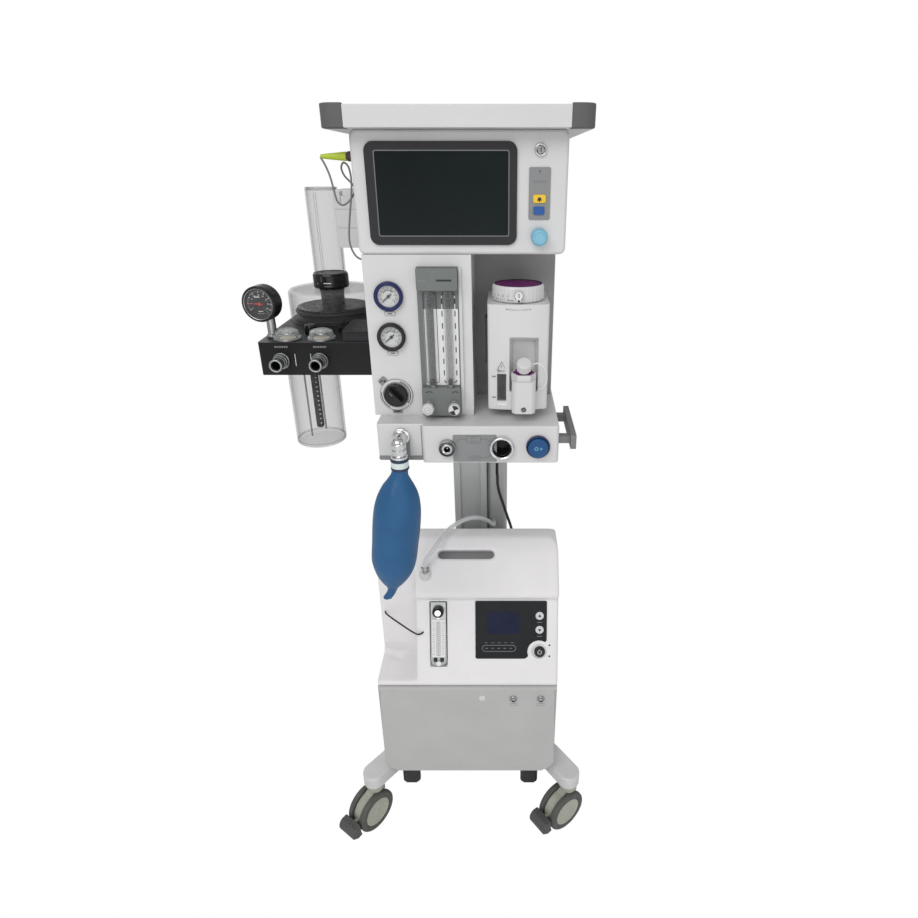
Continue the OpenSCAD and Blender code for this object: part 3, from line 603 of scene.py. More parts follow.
def caster(key, brake):
    x, y = STEMS[key]
    here = Matrix.Translation((x, y, 0)) @ Matrix.Rotation(radians(TURNS[key]), 4, "Z")
    axle = here @ front(-20, 50)
    items = []
    for turn in (UP, Matrix.Rotation(pi, 4, "Y")):
        tyre = pipe([(34, 12.4), (48.6, 12.4), (50, 14), (50, 21.5), (47, 25), (37, 25), (35, 23.6),
            (34, 23.6)], 1.5, 72)
        hub = turned([(0, 13), (34.2, 13), (34.2, 24.6), (31, 25), (29, 24), (9, 23.2), (7.5, 24.4),
            (0, 24.6)], 0.8, 72)
        items += [(tyre, TYRE, axle @ turn), (hub, HUB, axle @ turn)]
    axle_rod = lathe([(0, -13), (4.9, -13), (4.9, 13), (0, 13)])
    items.append((axle_rod, SATIN, axle))
    joined(items, "caster_wheel_" + key, "wheel_" + key)

    barrel = turned([(5.2, -11.7), (42, -11.7), (42.8, -10), (42.8, 10), (42, 11.7), (5.2, 11.7)], 0.6, 160,
        wave=(80, 0.22, 42.5), hollow=True)
    neck = prism(soft([(-19, 70), (19, 76), (19, 103), (-8, 103), (-30, 92)], 8), -11, 11, 3, 3)
    boss = turned([(0, 99), (20, 99), (20, 115), (16, 119.7), (8, 119.7), (8, 139), (0, 139)], 2)
    lug = prism(block(-75, -58, 38, 52, 3), -4, 4, 1, 1)
    flat = here @ front()
    joined([(barrel, HUB, axle), (neck, HUB, flat), (boss, HUB, here), (lug, HUB, flat)],
        "caster_fork_" + key, "fork_" + key)
    if brake:
        hug = arc(-20, 50, 55, 202, 168, 8)
        side_view = [(-84, 27.5)] + hug + arc(-80, 44, 18, 100, 205, 10)[1:]
        paddle = prism(side_view, -26, 26, 4, 4)
        arms = [(prism(soft([(-84, 38), (-65, 40), (-63, 50), (-84, 50)], 4), s - 2.2, s + 2.2, 0.8, 0.8),
            PEDAL, flat) for s in (-6.8, 6.8)]
        ribs = [(prism(block(-20 + k * 10, -14 + k * 10, -3, 3, 1), 61.0, 62.2, 0.4), PEDAL,
            here @ frame_of((-84, 0, 0), (0, 1, 0), (1, 0, 0), (0, 0, 1))) for k in range(4)]
        pin = lathe([(0, -8), (2.4, -8), (2.4, 8), (0, 8)], 24)
        joined([(paddle, PEDAL, flat), *arms, *ribs, (pin, SATIN, here @ front(-69, 45))],
            "brake_pedal_" + key, "pedal_" + key)


# ---- Oxygen concentrator ----

CONC = (-210, 182)  # its left and right sides
SHELL_VOXEL, SHELL_SHARE = 2.6, 0.16


def concentrator():
    profile = soft([(58, 156), (58, 412), (46, 413), (43, 424), (48, 431), (104.5, 603), (94, 609),
        (90, 621), (150, 694), (172, 716), (205, 716), (300, 650), (300, 156)], 7)
    body = moved(prism(profile, CONC[0], CONC[1]), side())
    mask = moved(prism(block(*CONC, 155.5, 716, 26, 8), -310, 0), front())
    body = changed(body, ("BOOLEAN", {"operation": "INTERSECT", "solver": "EXACT", "object": mask}))
    niche = prism(block(-270, -124, -60, 145, 30, 8), 428, 780)
    slot = prism(block(-61, 61, -9, 9, 8.5), -30, 12)
    slot_at = on_hood(-16.5, 146, 687)
    body = cut(body, (niche, UP), (slot, slot_at), (prism(block(-94, -56, 31, 178, 1), -12, 20), leaning()),
        (prism(block(5, 157, 49, 173, 3), -12, 20), leaning()))
    body = changed(body, ("REMESH", {"mode": "VOXEL", "voxel_size": SHELL_VOXEL}))
    for _ in range(7):
        bmesh.ops.smooth_vert(body, verts=body.verts, factor=0.6, use_axis_x=True, use_axis_y=True,
            use_axis_z=True)
    body = changed(body, ("DECIMATE", {"ratio": SHELL_SHARE}))
    # fascia, bottle shelf and a dark grey plate in the handle slot as painted shade
    fascia = prism(soft([(-116, 3), (171, 3), (171, 184), (-116, 184)], 14), -3, 0.9, 0.8)
    fascia = cut(fascia, (prism(block(-94, -56, 31, 178, 1), -12, 20), UP),
        (prism(block(5, 157, 49, 179, 3), -12, 20), UP))
    wave = [(-206 + 80 * t / 16, 128 - 12 * sin(pi * t / 16) ** 2) for t in range(17)] + [(-126, 147),
        (-206, 147)]
    shelf = prism(wave, 426, 447, 3)
    # painted shade: a dark grey plate at the bottom of the handle slot stands in for the shade in it
    floor = prism(block(-62, 62, -9.5, 9.5, 8.5), -31, -24)
    joined([(body, CASE, UP), (fascia, CASE, leaning()), (shelf, CASE, UP), (floor, LABEL, slot_at)],
        "concentrator_shell")

    left, right = CONC[0] + 1, CONC[1] - 1
    outline = ([(right, 413), (left, 413)] + arc(left + 26, 183, 26, 180, 270, 8) + arc(right - 26, 183, 26,
        270, 360, 8))
    # painted shade: the cover is coloured grey for the shade of its upright face
    cover = prism(outline, -62, -40, 6, steps=5)
    items = [(cover, COVER_PAINTED_SHADE, front())]
    for x in (86, 146):
        collar = turned([(0, -42), (8.2, -42), (8.2, -38), (5.5, -36), (5.5, -33), (3.6, -33), (3.6, -38),
            (0, -38)], 0.5)
        items += [(collar, SATIN, front(x, 383)), (band(7.2, 1.6, 20, 160, -41, -39.3), INK, front(x, 383)),
            (turned([(0, -40), (2.2, -40), (2.2, -35), (0, -34)], 0.4), CHROME, front(x, 383)),
            (border(-8, 8, -3.4, 3.4, 1, 0.7, -40, -39.8), GREY_INK, front(x, 365))]
    plug = turned([(0, -42), (8, -42), (7.5, -39), (5, -38.2), (0, -38)], 0.8)
    items.append((plug, WHITE, front(18, 384)))
    joined(items, "concentrator_cover")

    # control panel with its notch for the power button
    notch = arc(140.5, 66, 25, 205, 56, 12)
    outline = soft([(4, 50), (110, 50)], 0.1, False) + notch + [(157, 92), (157, 179), (4, 179)]
    plate = prism(soft(outline, 3), -6, 2.2, 1.0)
    face = leaning()
    items = [(plate, PANEL, face), (prism(block(2, 160, 47.5, 182, 7), -6, 1.0, 0.8), CASE, face),
        (prism(block(29, 98, 106, 155, 8), 2.2, 2.5, 0.2), LCD, face),
        (border(18, 91, 66, 81, 7.4, 1.1, 2.2, 2.45), GREY_INK, face)]
    for k in range(5):
        items.append((bar(28 + k * 13, 73.5, 5, 1.4, 2.2, 2.4), GREY_INK, face))
        items.append((bar(27 + k * 14, 86, 7, 0.9, 2.2, 2.35), GREY_INK, face))
    for v, turn in ((146, 0), (115, 180)):
        items.append((turned([(0, 3.6), (7, 3.6), (8.8, 2.6), (8.8, 2), (0, 2)], 0.6), PALE, leaning(141.6,
            v)))
        arrow = [(4 * cos(radians(90 + turn + 120 * k)),
            4 * sin(radians(90 + turn + 120 * k))) for k in range(3)]
        items.append((prism(arrow, 3.5, 3.8), INK, leaning(141.6, v)))
        items.append((bar(141.6, v - 14.5, 11, 1.2, 2.2, 2.35), GREY_INK, face))
    items.append((pipe([(13.2, 1), (16.5, 1), (16.5, 2.6), (14.6, 3.6), (13.2, 3)], 0.6), PALE,
        leaning(140.5, 66)))
    for v in (80, 55):
        items.append((turned([(0, 1.5), (1.8, 1.4), (2, 0.5), (0, 0.5)], 0.3, 20), INK, leaning(163,
            v, 0.4)))
    joined(items, "control_panel")
    knob = turned([(0, 5), (9, 5.6), (11.2, 5), (11.9, 3.6), (11.9, -3), (0, -3)], 0.7)
    joined([(knob, GLOSS_BLACK, leaning(142, 66)), (band(4, 1, 60, -240, 5.4, 5.6), WHITE_INK,
        leaning(142, 66)), (bar(142, 70, 3.4, 1, 5.4, 5.6, 90), WHITE_INK, leaning())],
        "power_button", "power")

    # flowmeter beside the panel
    foot = arc(-79, 41, 13, 180, 270, 8) + arc(-71, 41, 13, 270, 360, 8)
    clear_body = cut(prism(foot + [(-58, 171), (-92, 171)], -11, 4, 1.5),
        (prism(block(-80, -70, 50, 128, 4), -7, 8), UP))
    up = leaning(0, 6)
    items = [(clear_body, SATIN, up)]
    items.append((prism(block(-89, -61, 48, 132, 1), 4, 4.6, 0.3), WHITE_INK, up))
    items.append((prism(block(-79.5, -70.5, 52, 128, 4), 4.4, 8, 1.6), TUBE, up))
    for k in range(16):
        wide = 5 if k % 3 else 8
        for u in (-85, -65):
            items.append((bar(u, 55 + k * 4.7, wide * 0.6, 0.6, 4.6, 4.75), INK, up))
        items.append((bar(-75, 55 + k * 4.7, 4, 0.7, 8.0, 8.2), GREY_INK, up))
    for u in (-82, -68):
        items.append((prism(block(u - 4, u + 4, 38, 47, 1.5), 4, 6, 0.6), INK, up))
    items.append((prism(block(-80, -70, 30, 40, 4), 4, 7, 1), WHITE_INK, up))
    items.append((prism(block(-78, -72, 134, 140, 2), 4, 6, 0.6), CHROME, up))
    elbow = on_hood(-101, 118, 654)
    items += [(turned([(0, -1), (13.5, -1), (13.5, 1.2), (11.5, 2.6), (9, 3), (8.5, 8), (0, 9)], 0.8), PALE,
        elbow), (turned([(0, 658), (7, 658), (7, 664), (5.2, 665), (5.2, 668), (6.3, 669), (4.9, 674),
        (0, 674)], 0.4), SATIN, upright(-101, 118)), (prism(block(-3, 3, -8, 8, 1), 3, 6, 0.8), SATIN,
        elbow), (sweep([(-109, 118, 672), (-93, 118, 672)], 1.6), PEDAL, UP)]
    joined(items, "oxygen_flowmeter")
    knob = turned([(0, 17), (7.5, 17), (8.2, 16), (8.2, 13.4), (9.4, 13), (12, 12), (12, 5), (11, 4.4),
        (0, 4.4)], 0.5, 72, wave=(24, 0.2, 11.8))
    cap = turned([(0, 17.4), (6.6, 17.4), (7, 16.4), (0, 16.4)], 0.4)
    joined([(knob, GLOSS_BLACK, leaning(-75, 157)), (cap, CHROME, leaning(-75, 157))],
        "concentrator_knob", "flowmeter_knob")

    feet = [(prism(block(x, x + 40, y, y + 23, 8), 111 if y < 100 else 127, 155.5, 0, 4), RUBBER,
        UP) for x in (-173, 105) for y in (44, 262)]
    inner = cad("concentrator_core", 0)
    bmesh.ops.delete(inner, geom=[f for f in inner.faces if f.calc_center_median().z < 158],
        context="FACES")
    joined([*feet, (inner, CORE, UP)], "concentrator_core")


# ---- Mast, cabinet, display head and tray ----

def head():
    refine("mast", ALUMINIUM, 1.0, lambda e: e.calc_length() > 100)
    # painted shade: a dark grey sheet at the back of the bay stands in for the shade inside it
    bay_shade_sheet = (prism(block(15, 149.4, 1061.6, 1317.4), -109.9, -109.2), BAY_PAINTED_SHADE, front())
    refine("cabinet", WHITE, 1.2, lambda e: e.calc_length() > 100, extra=[bay_shade_sheet])
    housing = cad("display_housing")

    def front_rim(e):
        m = middle(e)
        return m.y < 0.5 and (m.x < -149 or m.x > 150 or m.z < 1322 or m.z > 1481)
    round_edges(housing, 5, front_rim, 5)
    round_edges(housing, 2, lambda e: middle(e).y > 349 and e.calc_length() > 100, 3)
    joined([(housing, WHITE, UP)], "display_housing")

    items = [(prism(block(-134, 82, 1332, 1470, 13, 10), -16, 3.4, 2.2, steps=4), BEZEL, front()),
        (prism(block(-121, 71, 1344, 1459, 3), 3.4, 3.65, 0.15), STEEL, front()),
        (prism(block(-119.5, 69.5, 1345.5, 1457.5, 2), 3.4, 3.8, 0.2), SCREEN, front()),
        (prism(block(-118, 68, 1342, 1460), -22, -16), PEDAL, front()),
        (prism(block(99, 130, 1367, 1437, 2.5), 0, 1.3, 0.4), LABEL, front()),
        (prism(block(105.5, 123.5, 1390, 1401, 2), 1, 3, 0.9), YELLOW, front()),
        (prism(block(106, 122, 1374, 1385, 2), 1, 3, 0.9), KEY_BLUE, front()),
        (prism(arc(114.5, 1395, 2.6, 0, 180, 8) + [(111, 1393), (118, 1393)], 2.9, 3.15), INK, front()),
        (prism(ring(1, 12), 2.9, 3.15), INK, front(114.5, 1392.2)),
        (bar(114.5, 1430, 5, 1.2, 1.2, 1.45, 90), GREY_INK, front()), (prism([(112.6, 1431), (116.4, 1431),
        (114.5, 1434)], 1.2, 1.45), GREY_INK, front())]
    for k in range(5):
        items.append((bar(106.8 + k * 3.9, 1418, 2.8, 3.2, 1.2, 1.45), GREY_INK, front()))
    lock = front(115, 1459)
    items += [(turned([(0, 0), (9, 0), (9, 2.4), (8, 3.6), (6.2, 3.6), (5.6, 2.6), (0, 2.6)], 0.5), CHROME,
        lock), (turned([(0, 2), (5, 2), (5, 4.4), (4.3, 5), (0, 5)], 0.5), SATIN, lock),
        (bar(0, 0, 6.4, 1.3, 4.8, 5.1, 90), INK, lock)]
    for a in (20, 110, 200, 290):
        items.append((prism(ring(1.5, 12), 2.5, 2.75), INK,
            lock @ Matrix.Translation((4.9 * cos(radians(a)), 4.9 * sin(radians(a)), 0.9))))
    joined(items, "display_screen")

    knob = turned([(0, 21.2), (6.5, 21.2), (7.2, 22), (9.6, 21.6), (11.8, 19), (12.3, 14), (12.3, 2),
        (11.4, 0.6), (0, 0.6)], 0.9, 96, wave=(32, 0.18, 11.9))
    joined([(knob, SKY, front(115, 1344))], "encoder_knob", "encoder")

    refine("top_tray", WHITE, 1.4, lambda e: e.calc_length() > 30, 3)
    refine("tray_corners", BUMPER, 1.6, steps=3)
    module = cad("side_module", 1.2, lambda e: e.calc_length() > 20 and middle(e).x > -227)
    bmesh.ops.delete(module, geom=[f for f in module.faces if f.calc_center_median().z > 1440],
        context="FACES")
    socket = turned([(0, 0), (6.5, 0), (6.5, 7), (5.4, 8.6), (0, 9)], 0.5)
    socket_at = frame_of((-154, 20, 1451), (0, 0, 1), (0, 1, 0), (-1, 0, 0))
    rings = [(pipe([(5, k), (6.9, k), (6.9, k + 1), (5, k + 1)], 0.3), BROWN,
        socket_at) for k in (1.5, 3.7, 5.9)]
    joined([(module, PALE, UP), (socket, BROWN, socket_at), *rings], "side_module")


# ---- Gas panel ----

GAUGES = {"o2": (-114, 1257), "air": (-114, 1194)}
SELECTOR = (-113, 1098)
KNOBS = {"o2": (-58, 1085), "air": (-16, 1085)}
TUBES = (-51, -22.5)


def gas_panel():
    items = [(cad("gas_plate", 0.8, lambda e: e.calc_length() > 100), WHITE, UP)]
    for x, z in GAUGES.values():
        items += [(prism(block(-8.5, 8.5, -30.5, -23.6, 1.6), 0, 0.6, 0.2), LABEL, front(x, z)),
            (prism(block(-7.7, 7.7, -29.8, -24.3, 1.2), 0.5, 0.8, 0.1), PALE, front(x, z)),
            (bar(0, -27, 7, 2.2, 0.8, 0.95), GREY_INK, front(x, z))]
    here = front(*SELECTOR)
    items += [(pipe([(21.2, 1.2), (26.9, 1.2), (26.9, 3.3), (21.2, 3.3)], 0.5), PALE, here),
        (pipe([(26.1, 3.1), (26.9, 3.1), (26.9, 3.5), (26.1, 3.5)], 0.1), STEEL, here), (pipe([(20.6, 1.2),
        (21.6, 1.2), (21.6, 3.5), (20.6, 3.5)], 0.2), STEEL, here), (band(23.4, 1.5, 72, -38, 3.3, 3.6, 24),
        INK, here), (band(24.2, 1.3, 170, 242, 3.3, 3.6, 20), INK, here)]
    tab = here @ Matrix.Rotation(radians(42), 4, "Z")
    items += [(prism(block(-6.5, 6.5, 25, 36.5, 2.5), 0, 2.8, 0.6), LABEL, tab),
        (bar(-1.5, 32.6, 6.5, 1.7, 2.8, 3.0), INK, tab), (bar(2.2, 28.6, 4, 3, 2.8, 3.0), INK, tab),
        (prism(block(-8, 8, -32.5, -26, 1.5), 0, 2, 0.5), LABEL, here), (bar(0, -29.2, 11, 2.1, 2.0, 2.2),
        INK, here)]
    joined(items, "gas_plate")

    knob = turned([(0, 3.4), (18.8, 3.4), (19.4, 4.4), (19.2, 7.4), (17.4, 8.8), (0, 8.2)], 0.9, 96)
    grip = prism(block(-15, 15, -3.6, 3.6, 3.4), 7.5, 21.9, 2.4)
    shaft = lathe([(0, -5), (4, -5), (4, 4), (0, 4)], 32)
    grip_at = here @ Matrix.Rotation(radians(-48), 4, "Z")
    joined([(knob, GLOSS_BLACK, here), (grip, GLOSS_BLACK, grip_at), (shaft, SATIN, here),
        (bar(-8.5, 0, 6, 1.2, 21.7, 21.95), GREY_INK, grip_at)], "selector_knob", "selector")

    items = []
    for key, (x, z) in GAUGES.items():
        here = front(x, z)
        case = pipe([(1.35, -30), (1.35, 2.9), (16.6, 2.9), (16.6, 7.2), (17.8, 9), (21, 9), (22.5, 7),
            (22.5, 0), (20, 0), (20, -30)], 0.9, 72)
        face = pipe([(1.35, 2.8), (16.4, 2.8), (16.4, 3.2), (1.35, 3.2)], 0.05)
        items += [(case, BLUE_RING if key == "o2" else GLOSS_BLACK, here), (face, FACE, here),
            (turned([(0, 7.2), (16.8, 7.2), (16.8, 7.9), (0, 7.9)], 0.2), GLASS, here),
            (band(11.6, 0.5, 225, -45, 3.2, 3.3, 40), INK, here), (band(9.4, 2.2, 150, 40, 3.2, 3.26, 20),
            LABEL, here)]
        items += [(t, INK, here) for t in ticks(11, 225, -270, 11.6, 15, 0.7, 3.2, 3.35)]
        items += [(t, INK, here) for t in ticks(51, 225, -270, 13, 15, 0.25, 3.2, 3.3)]
        for k in range(6):
            a = radians(225 - 54 * k)
            items.append((digits(str(2 * k), 3.2, 8.7 * cos(a), 8.7 * sin(a), 3.25), INK, here))
    joined(items, "pressure_gauges")
    for key, (x, z) in GAUGES.items():
        refine(key + "_needle", INK, 0, body=key + "_pointer")


def flow_panel():
    here = front()
    shank = [(lathe([(0, 6), (3.1, 6), (3.1, 30), (0, 30)], 32), front(*at)) for at in KNOBS.values()]
    lower = cut(prism(block(-69, -7, 1067, 1114, 1.5), 4, 17.5, 0.9), *shank)
    items = [(prism(block(-70, -6.4, 1065, 1301, 2), 0, 4, 0.6), PLATE, here), (lower, PLATE, here),
        (prism(block(-69, -7, 1268, 1300, 1.5), 4, 17.5, 0.9), PLATE, here),
        (prism(block(-6, -1.2, 1066, 1300, 0.5), 0, 5, 0.8), PALE, here),
        (prism(block(-46, -8, 1115, 1238, 1), 4, 4.5, 0.2), WHITE_INK, here),
        (prism(block(-62, -57, 1115, 1238, 1), 4, 4.4, 0.2), PALE, here),
        (border(-61.5, -40.5, 1119, 1263, 4, 0.8, 4.4, 5.0), BEZEL, here),
        (border(-33.2, -11.8, 1119, 1263, 4, 1.3, 4.4, 4.9), WHITE_INK, here), (pipe([(1.6, 17.4),
        (2.5, 17.4), (2.5, 17.7), (1.6, 17.7)], 0.1, 24), GREY_INK, front(-45, 1291)),
        (bar(-45, 1295.5, 14, 1.2, 17.4, 17.65), GREY_INK, here), (bar(-60, 1283, 12, 2.2, 17.4, 17.65),
        GREY_INK, here), (bar(-27, 1283, 23, 2.8, 17.4, 17.65), INK, here)]
    for u in (-32.6, -12.4):
        for k in range(7):
            items.append((bar(u, 1136 + k * 19, 8.5, 1.5, 4.8, 5.1, 90), INK, here))
    for u, v, start in ((-16.4, 1258.4, 0), (-28.6, 1258.4, 90), (-28.6, 1123.6, 180),
            (-16.4, 1123.6, 270)):
        items.append((band(3.9, 1.5, start, start + 90, 4.8, 5.1, 8), INK, here @ Matrix.Translation((u,
            v, 0))))
    for x in TUBES:
        tube = pipe([(4, 1114), (6.4, 1114), (6.4, 1268), (4, 1268)], 0.3, 40)
        float_ = turned([(0, 1117), (2.6, 1117), (3.5, 1119), (3.5, 1124), (2.2, 1127), (0, 1127.5)],
            0.7, 32)
        stop = turned([(0, 1114), (4, 1114), (3.2, 1117), (0, 1117)], 0.4, 32)
        items += [(tube, TUBE, upright(x, -11)), (float_, INK, upright(x, -11)), (stop, SATIN,
            upright(x, -11)), (prism(block(x - 4, x + 4, 1240, 1267, 1), 5, 7.5, 0.6), BEZEL, here)]
        for k in range(21):
            items.append((bar(x, 1132 + k * 6.2, 5.2 if k % 5 == 0 else 3, 0.6, 17.1, 17.35), GREY_INK,
                here))
            if k % 5 == 0:
                items.append((digits(str(k // 2), 3.4, x + 4.2, 1134.6 + k * 6.2, 16.2), GREY_INK, here))
    for x, z in KNOBS.values():
        items.append((band(10, 1.3, 125, 58, 17.4, 17.7, 14), INK, front(x + 1, z + 13)))
        items.append((pipe([(3.2, 17.3), (7.5, 17.3), (7, 18.1), (3.2, 18.1)], 0.3, 40), SATIN, front(x,
            z)))
    joined(items, "flowmeter_panel")

    for key, (x, z) in KNOBS.items():
        here = front(x, z)
        shaft = lathe([(0, 8), (2.95, 8), (2.95, 19), (0, 19)], 32)
        collar = turned([(0, 18.4), (6.6, 18.4), (7.2, 20), (7.2, 27), (8.4, 28.5), (8.4, 32), (0, 32)],
            0.5, 64, wave=(24, 0.16, 7.1))
        if key == "o2":
            head_ = turned([(0, 31.5), (9, 31.5), (9.5, 32.5), (9.2, 40), (7.6, 42.4), (0, 42.8)], 0.8, 96,
                wave=(8, 0.5, 8.9))
            items = [(head_, WHITE, here), (pipe([(4.6, 42.2), (5.6, 42.2), (5.6, 43), (4.6, 43)], 0.1, 40),
                SATIN, here), (bar(0, 0, 3.2, 0.9, 42.6, 42.95), GREY_INK, here)]
        else:
            head_ = turned([(0, 31.5), (9, 31.5), (9.3, 32.5), (9.1, 41.4), (8.3, 42.4), (0, 42.4)],
                0.6, 96, wave=(24, 0.12, 8.9))
            items = [(head_, WHITE, here)]
            for a in (20, 200):
                wedge = [(0, 0)] + arc(0, 0, 7.9, a, a + 90, 10)
                items.append((prism(wedge, 42.3, 42.75, 0.1), INK, here))
        joined([*items, (collar, CHROME, here), (shaft, SATIN, here)], key + "_flow_knob",
            key + "_flow")


# ---- Vaporizer ----

DIAL, FILLER = (86, 30), (95, -20)


def around(x, y, r, angle, z=0):
    """On an upright cylinder: u round it, v up, w out of it; angle 0 faces the viewer."""
    a = radians(angle - 90)
    return frame_of((x + r * cos(a), y + r * sin(a), z), (-sin(a), cos(a), 0), (0, 0, 1), (cos(a), sin(a),
        0))


def vaporizer():
    plan = soft([(37.8, -12.5), (60, -16.6), (86, -18), (112, -16.6), (134.2, -12.5), (134.2, 109.7),
        (37.8, 109.7)], 5)
    body = prism(plan, 1076, 1247, 2.2, 3)
    recess = prism(block(71, 120, 1108, 1199, 2), -8, 22)
    for v in recess.verts:
        if v.co.z < 0:
            v.co.x = 95.5 + (v.co.x - 95.5) * 0.70
            v.co.y -= 15 if v.co.y > 1150 else 0
    window = prism(block(52.6, 67.4, 1092, 1137.5, 0.8), 8, 22)
    body = cut(body, (recess, front()), (window, front()))
    block_ = prism(soft([(76, 8), (76, -36), (82, -42), (108, -42), (114, -36), (114, 8)], 3),
        1078, 1131, 1.6, 2)
    tilt = Matrix.Translation((*FILLER, 1138)) @ Matrix.Rotation(radians(35), 4, "X")
    hexagon = prism(soft(ring(20.3, 6), 2), 1130, 1141, 1.4)
    well = prism(soft(ring(17.6, 6), 2), 1139, 1141.8, 0.5)
    neck = turned([(0, -4), (7, -4), (7, 22), (0, 22)], 0.4, 40)
    collar = pipe([(7, 4), (14, 2), (14.5, 3.5), (13, 6), (7, 8)], 0.5, 48)
    tether = sweep(catmull([(104, -27, 1148), (111, -33, 1159), (121, -33, 1158), (129, -29, 1147),
        (132, -25, 1131), (127, -22, 1117), (118, -19, 1112)], 8), 0.9, 10)
    loop = pipe([(7.1, 10.5), (9.4, 10.5), (9.4, 12.2), (7.1, 12.2)], 0.3, 40)
    items = [(body, WHITE, UP), (block_, WHITE, UP), (hexagon, WHITE, upright(*FILLER)), (well, PURPLE,
        upright(*FILLER)), (neck, BEZEL, tilt), (collar, PURPLE, tilt), (loop, WHITE, tilt), (tether,
        WHITE_INK, UP), (lathe([(0, 1246), (7.9, 1246), (7.9, 1262), (0, 1262)], 40), SATIN,
        upright(*DIAL)), (prism(block(33.6, 37.9, 1150, 1223, 1), -32, -2, 0.5, 0.5), INK, front()),
        (prism(block(53.2, 66.8, 1092.6, 1137, 0.6), 9, 11), BEZEL, front()),
        (prism(block(56.6, 63.4, 1096, 1134, 3), 10.5, 13, 1), SCREEN, front()),
        (prism(block(53, 67, 1092.4, 1137.2, 0.6), 15.4, 16), GLASS, front()),
        (prism(block(53, 68, 1084.6, 1088.6, 1), 12, 17.4, 0.6), WHITE_INK, front()), (pipe([(3.2, 41.5),
        (4.6, 41.5), (4.6, 42.6), (3.9, 43.2), (3.2, 42.6)], 0.3, 32), SATIN, front(95, 1086)),
        (turned([(0, 41.6), (3.3, 41.6), (3.3, 42.4), (0, 42.4)], 0.2, 32), INK, front(95, 1086)),
        (bar(0, 0, 4.4, 1.1, 42.3, 42.8, 30), SATIN, front(95, 1086))]
    for v in (1133, 1098):
        items.append((bar(47.6, v, 6.5, 1.5, 14.9, 15.5), GREY_INK, front()))
    triangle = [(52.8, 1143.5), (67.2, 1143.5), (60, 1157.5)]
    for (u0, v0), (u1, v1) in zip(triangle, triangle[1:] + triangle[:1]):
        items.append((bar((u0 + u1) / 2, (v0 + v1) / 2, hypot(u1 - u0, v1 - v0), 0.7, 16, 16.9,
            atan2(v1 - v0, u1 - u0) * 180 / pi), GREY_INK, front()))
    items += [(bar(60, 1149.4, 5, 1, 16, 16.8, 90), GREY_INK, front()), (bar(62, 1141, 17, 0.9, 16, 16.9),
        GREY_INK, front())]
    for k in range(9):
        u = 68 + k * 4.4
        w = 18 - abs(u - 86) * 0.02
        items.append((bar(u, 1239 + 0.0035 * (u - 86) ** 2, 2.6 if k % 3 else 3.4, 0.9, w - 0.4, w + 0.15),
            GREY_INK, front()))
    joined(items, "vaporizer_body")

    dial = lathe(soft([(0, 1263), (8.15, 1263), (8.15, 1247.6), (39.6, 1247.6), (41.3, 1249.4),
        (40.5, 1268.5), (38.6, 1271.6), (37, 1271.6), (36.8, 1270), (0, 1270)], 1.1, False, 3), 144,
        wave=(36, 0.35, 40.2))
    here = upright(*DIAL)
    items = [(dial, WHITE, here), (turned([(0, 1269.8), (36.2, 1269.8), (36.2, 1270.9), (0, 1271.5)],
        0.3, 96), PURPLE, here), (pipe([(35.9, 1269.8), (38, 1269.8), (38, 1271.9), (35.9, 1271.6)],
        0.3, 96), INK, here)]
    drop = arc(86, 1260.4, 7.8, -38, 218, 22) + [(86.6, 1250), (85.4, 1250)]
    items += [(prism(drop, -4, 18.6, 1.2), WHITE, front()), (prism(arc(86, 1260.4, 5.8, 0, 360, 32)[:-1],
        18.4, 19.3, 0.6), WHITE_INK, front()), (band(6.3, 0.8, -50, 230, 18.5, 18.9, 30), GREY_INK,
        front(86, 1260.4)), (digits("0", 9, 86, 1260.4, 19.2, 0.3), INK, front()), (prism(ring(1.7, 20),
        18.5, 19.3, 0.3), INK, front(86, 1252.3))]
    for k in range(9):
        at = around(*DIAL, 41.1, -24 - k * 6.2, 1252.4)
        items.append((bar(0, 0, 3.2 if k % 2 else 2, 0.7, -0.6, 0.45, 90), GREY_INK, at))
    for k in range(4):
        items.append((digits(str(k + 1), 4.2, 0, 0, 0.1, 0.5), GREY_INK,
            around(*DIAL, 40.9, -24 - k * 12.4, 1257.8)))
    for k in range(3):
        items.append((bar(0, 0, 2.6, 1.4, -0.5, 0.45), GREY_INK,
            around(*DIAL, 41.1, -13 - k * 4.4, 1251.8)))
    joined(items, "vaporizer_dial", "dial")

    cap = lathe(soft([(0, 23.2), (7.15, 23.2), (7.15, 14), (10.8, 14), (11.8, 15.4), (11.5, 27.6),
        (9.6, 29.8), (0, 29.9)], 0.8, False, 3), 96, wave=(12, 0.45, 10.4))
    ridge = prism(block(-8, 8, -1.6, 1.6, 1.5), 28.6, 30, 0.6)
    joined([(cap, WHITE, tilt), (ridge, WHITE, tilt @ Matrix.Rotation(radians(-35), 4, "Z"))],
        "filler_cap", "cap")


# ---- Worktop ----

SUPPLY, FRESH, FLUSH = (-28, 1025), (60, 1025), (119, 1026)
BAG = (-103, -75)


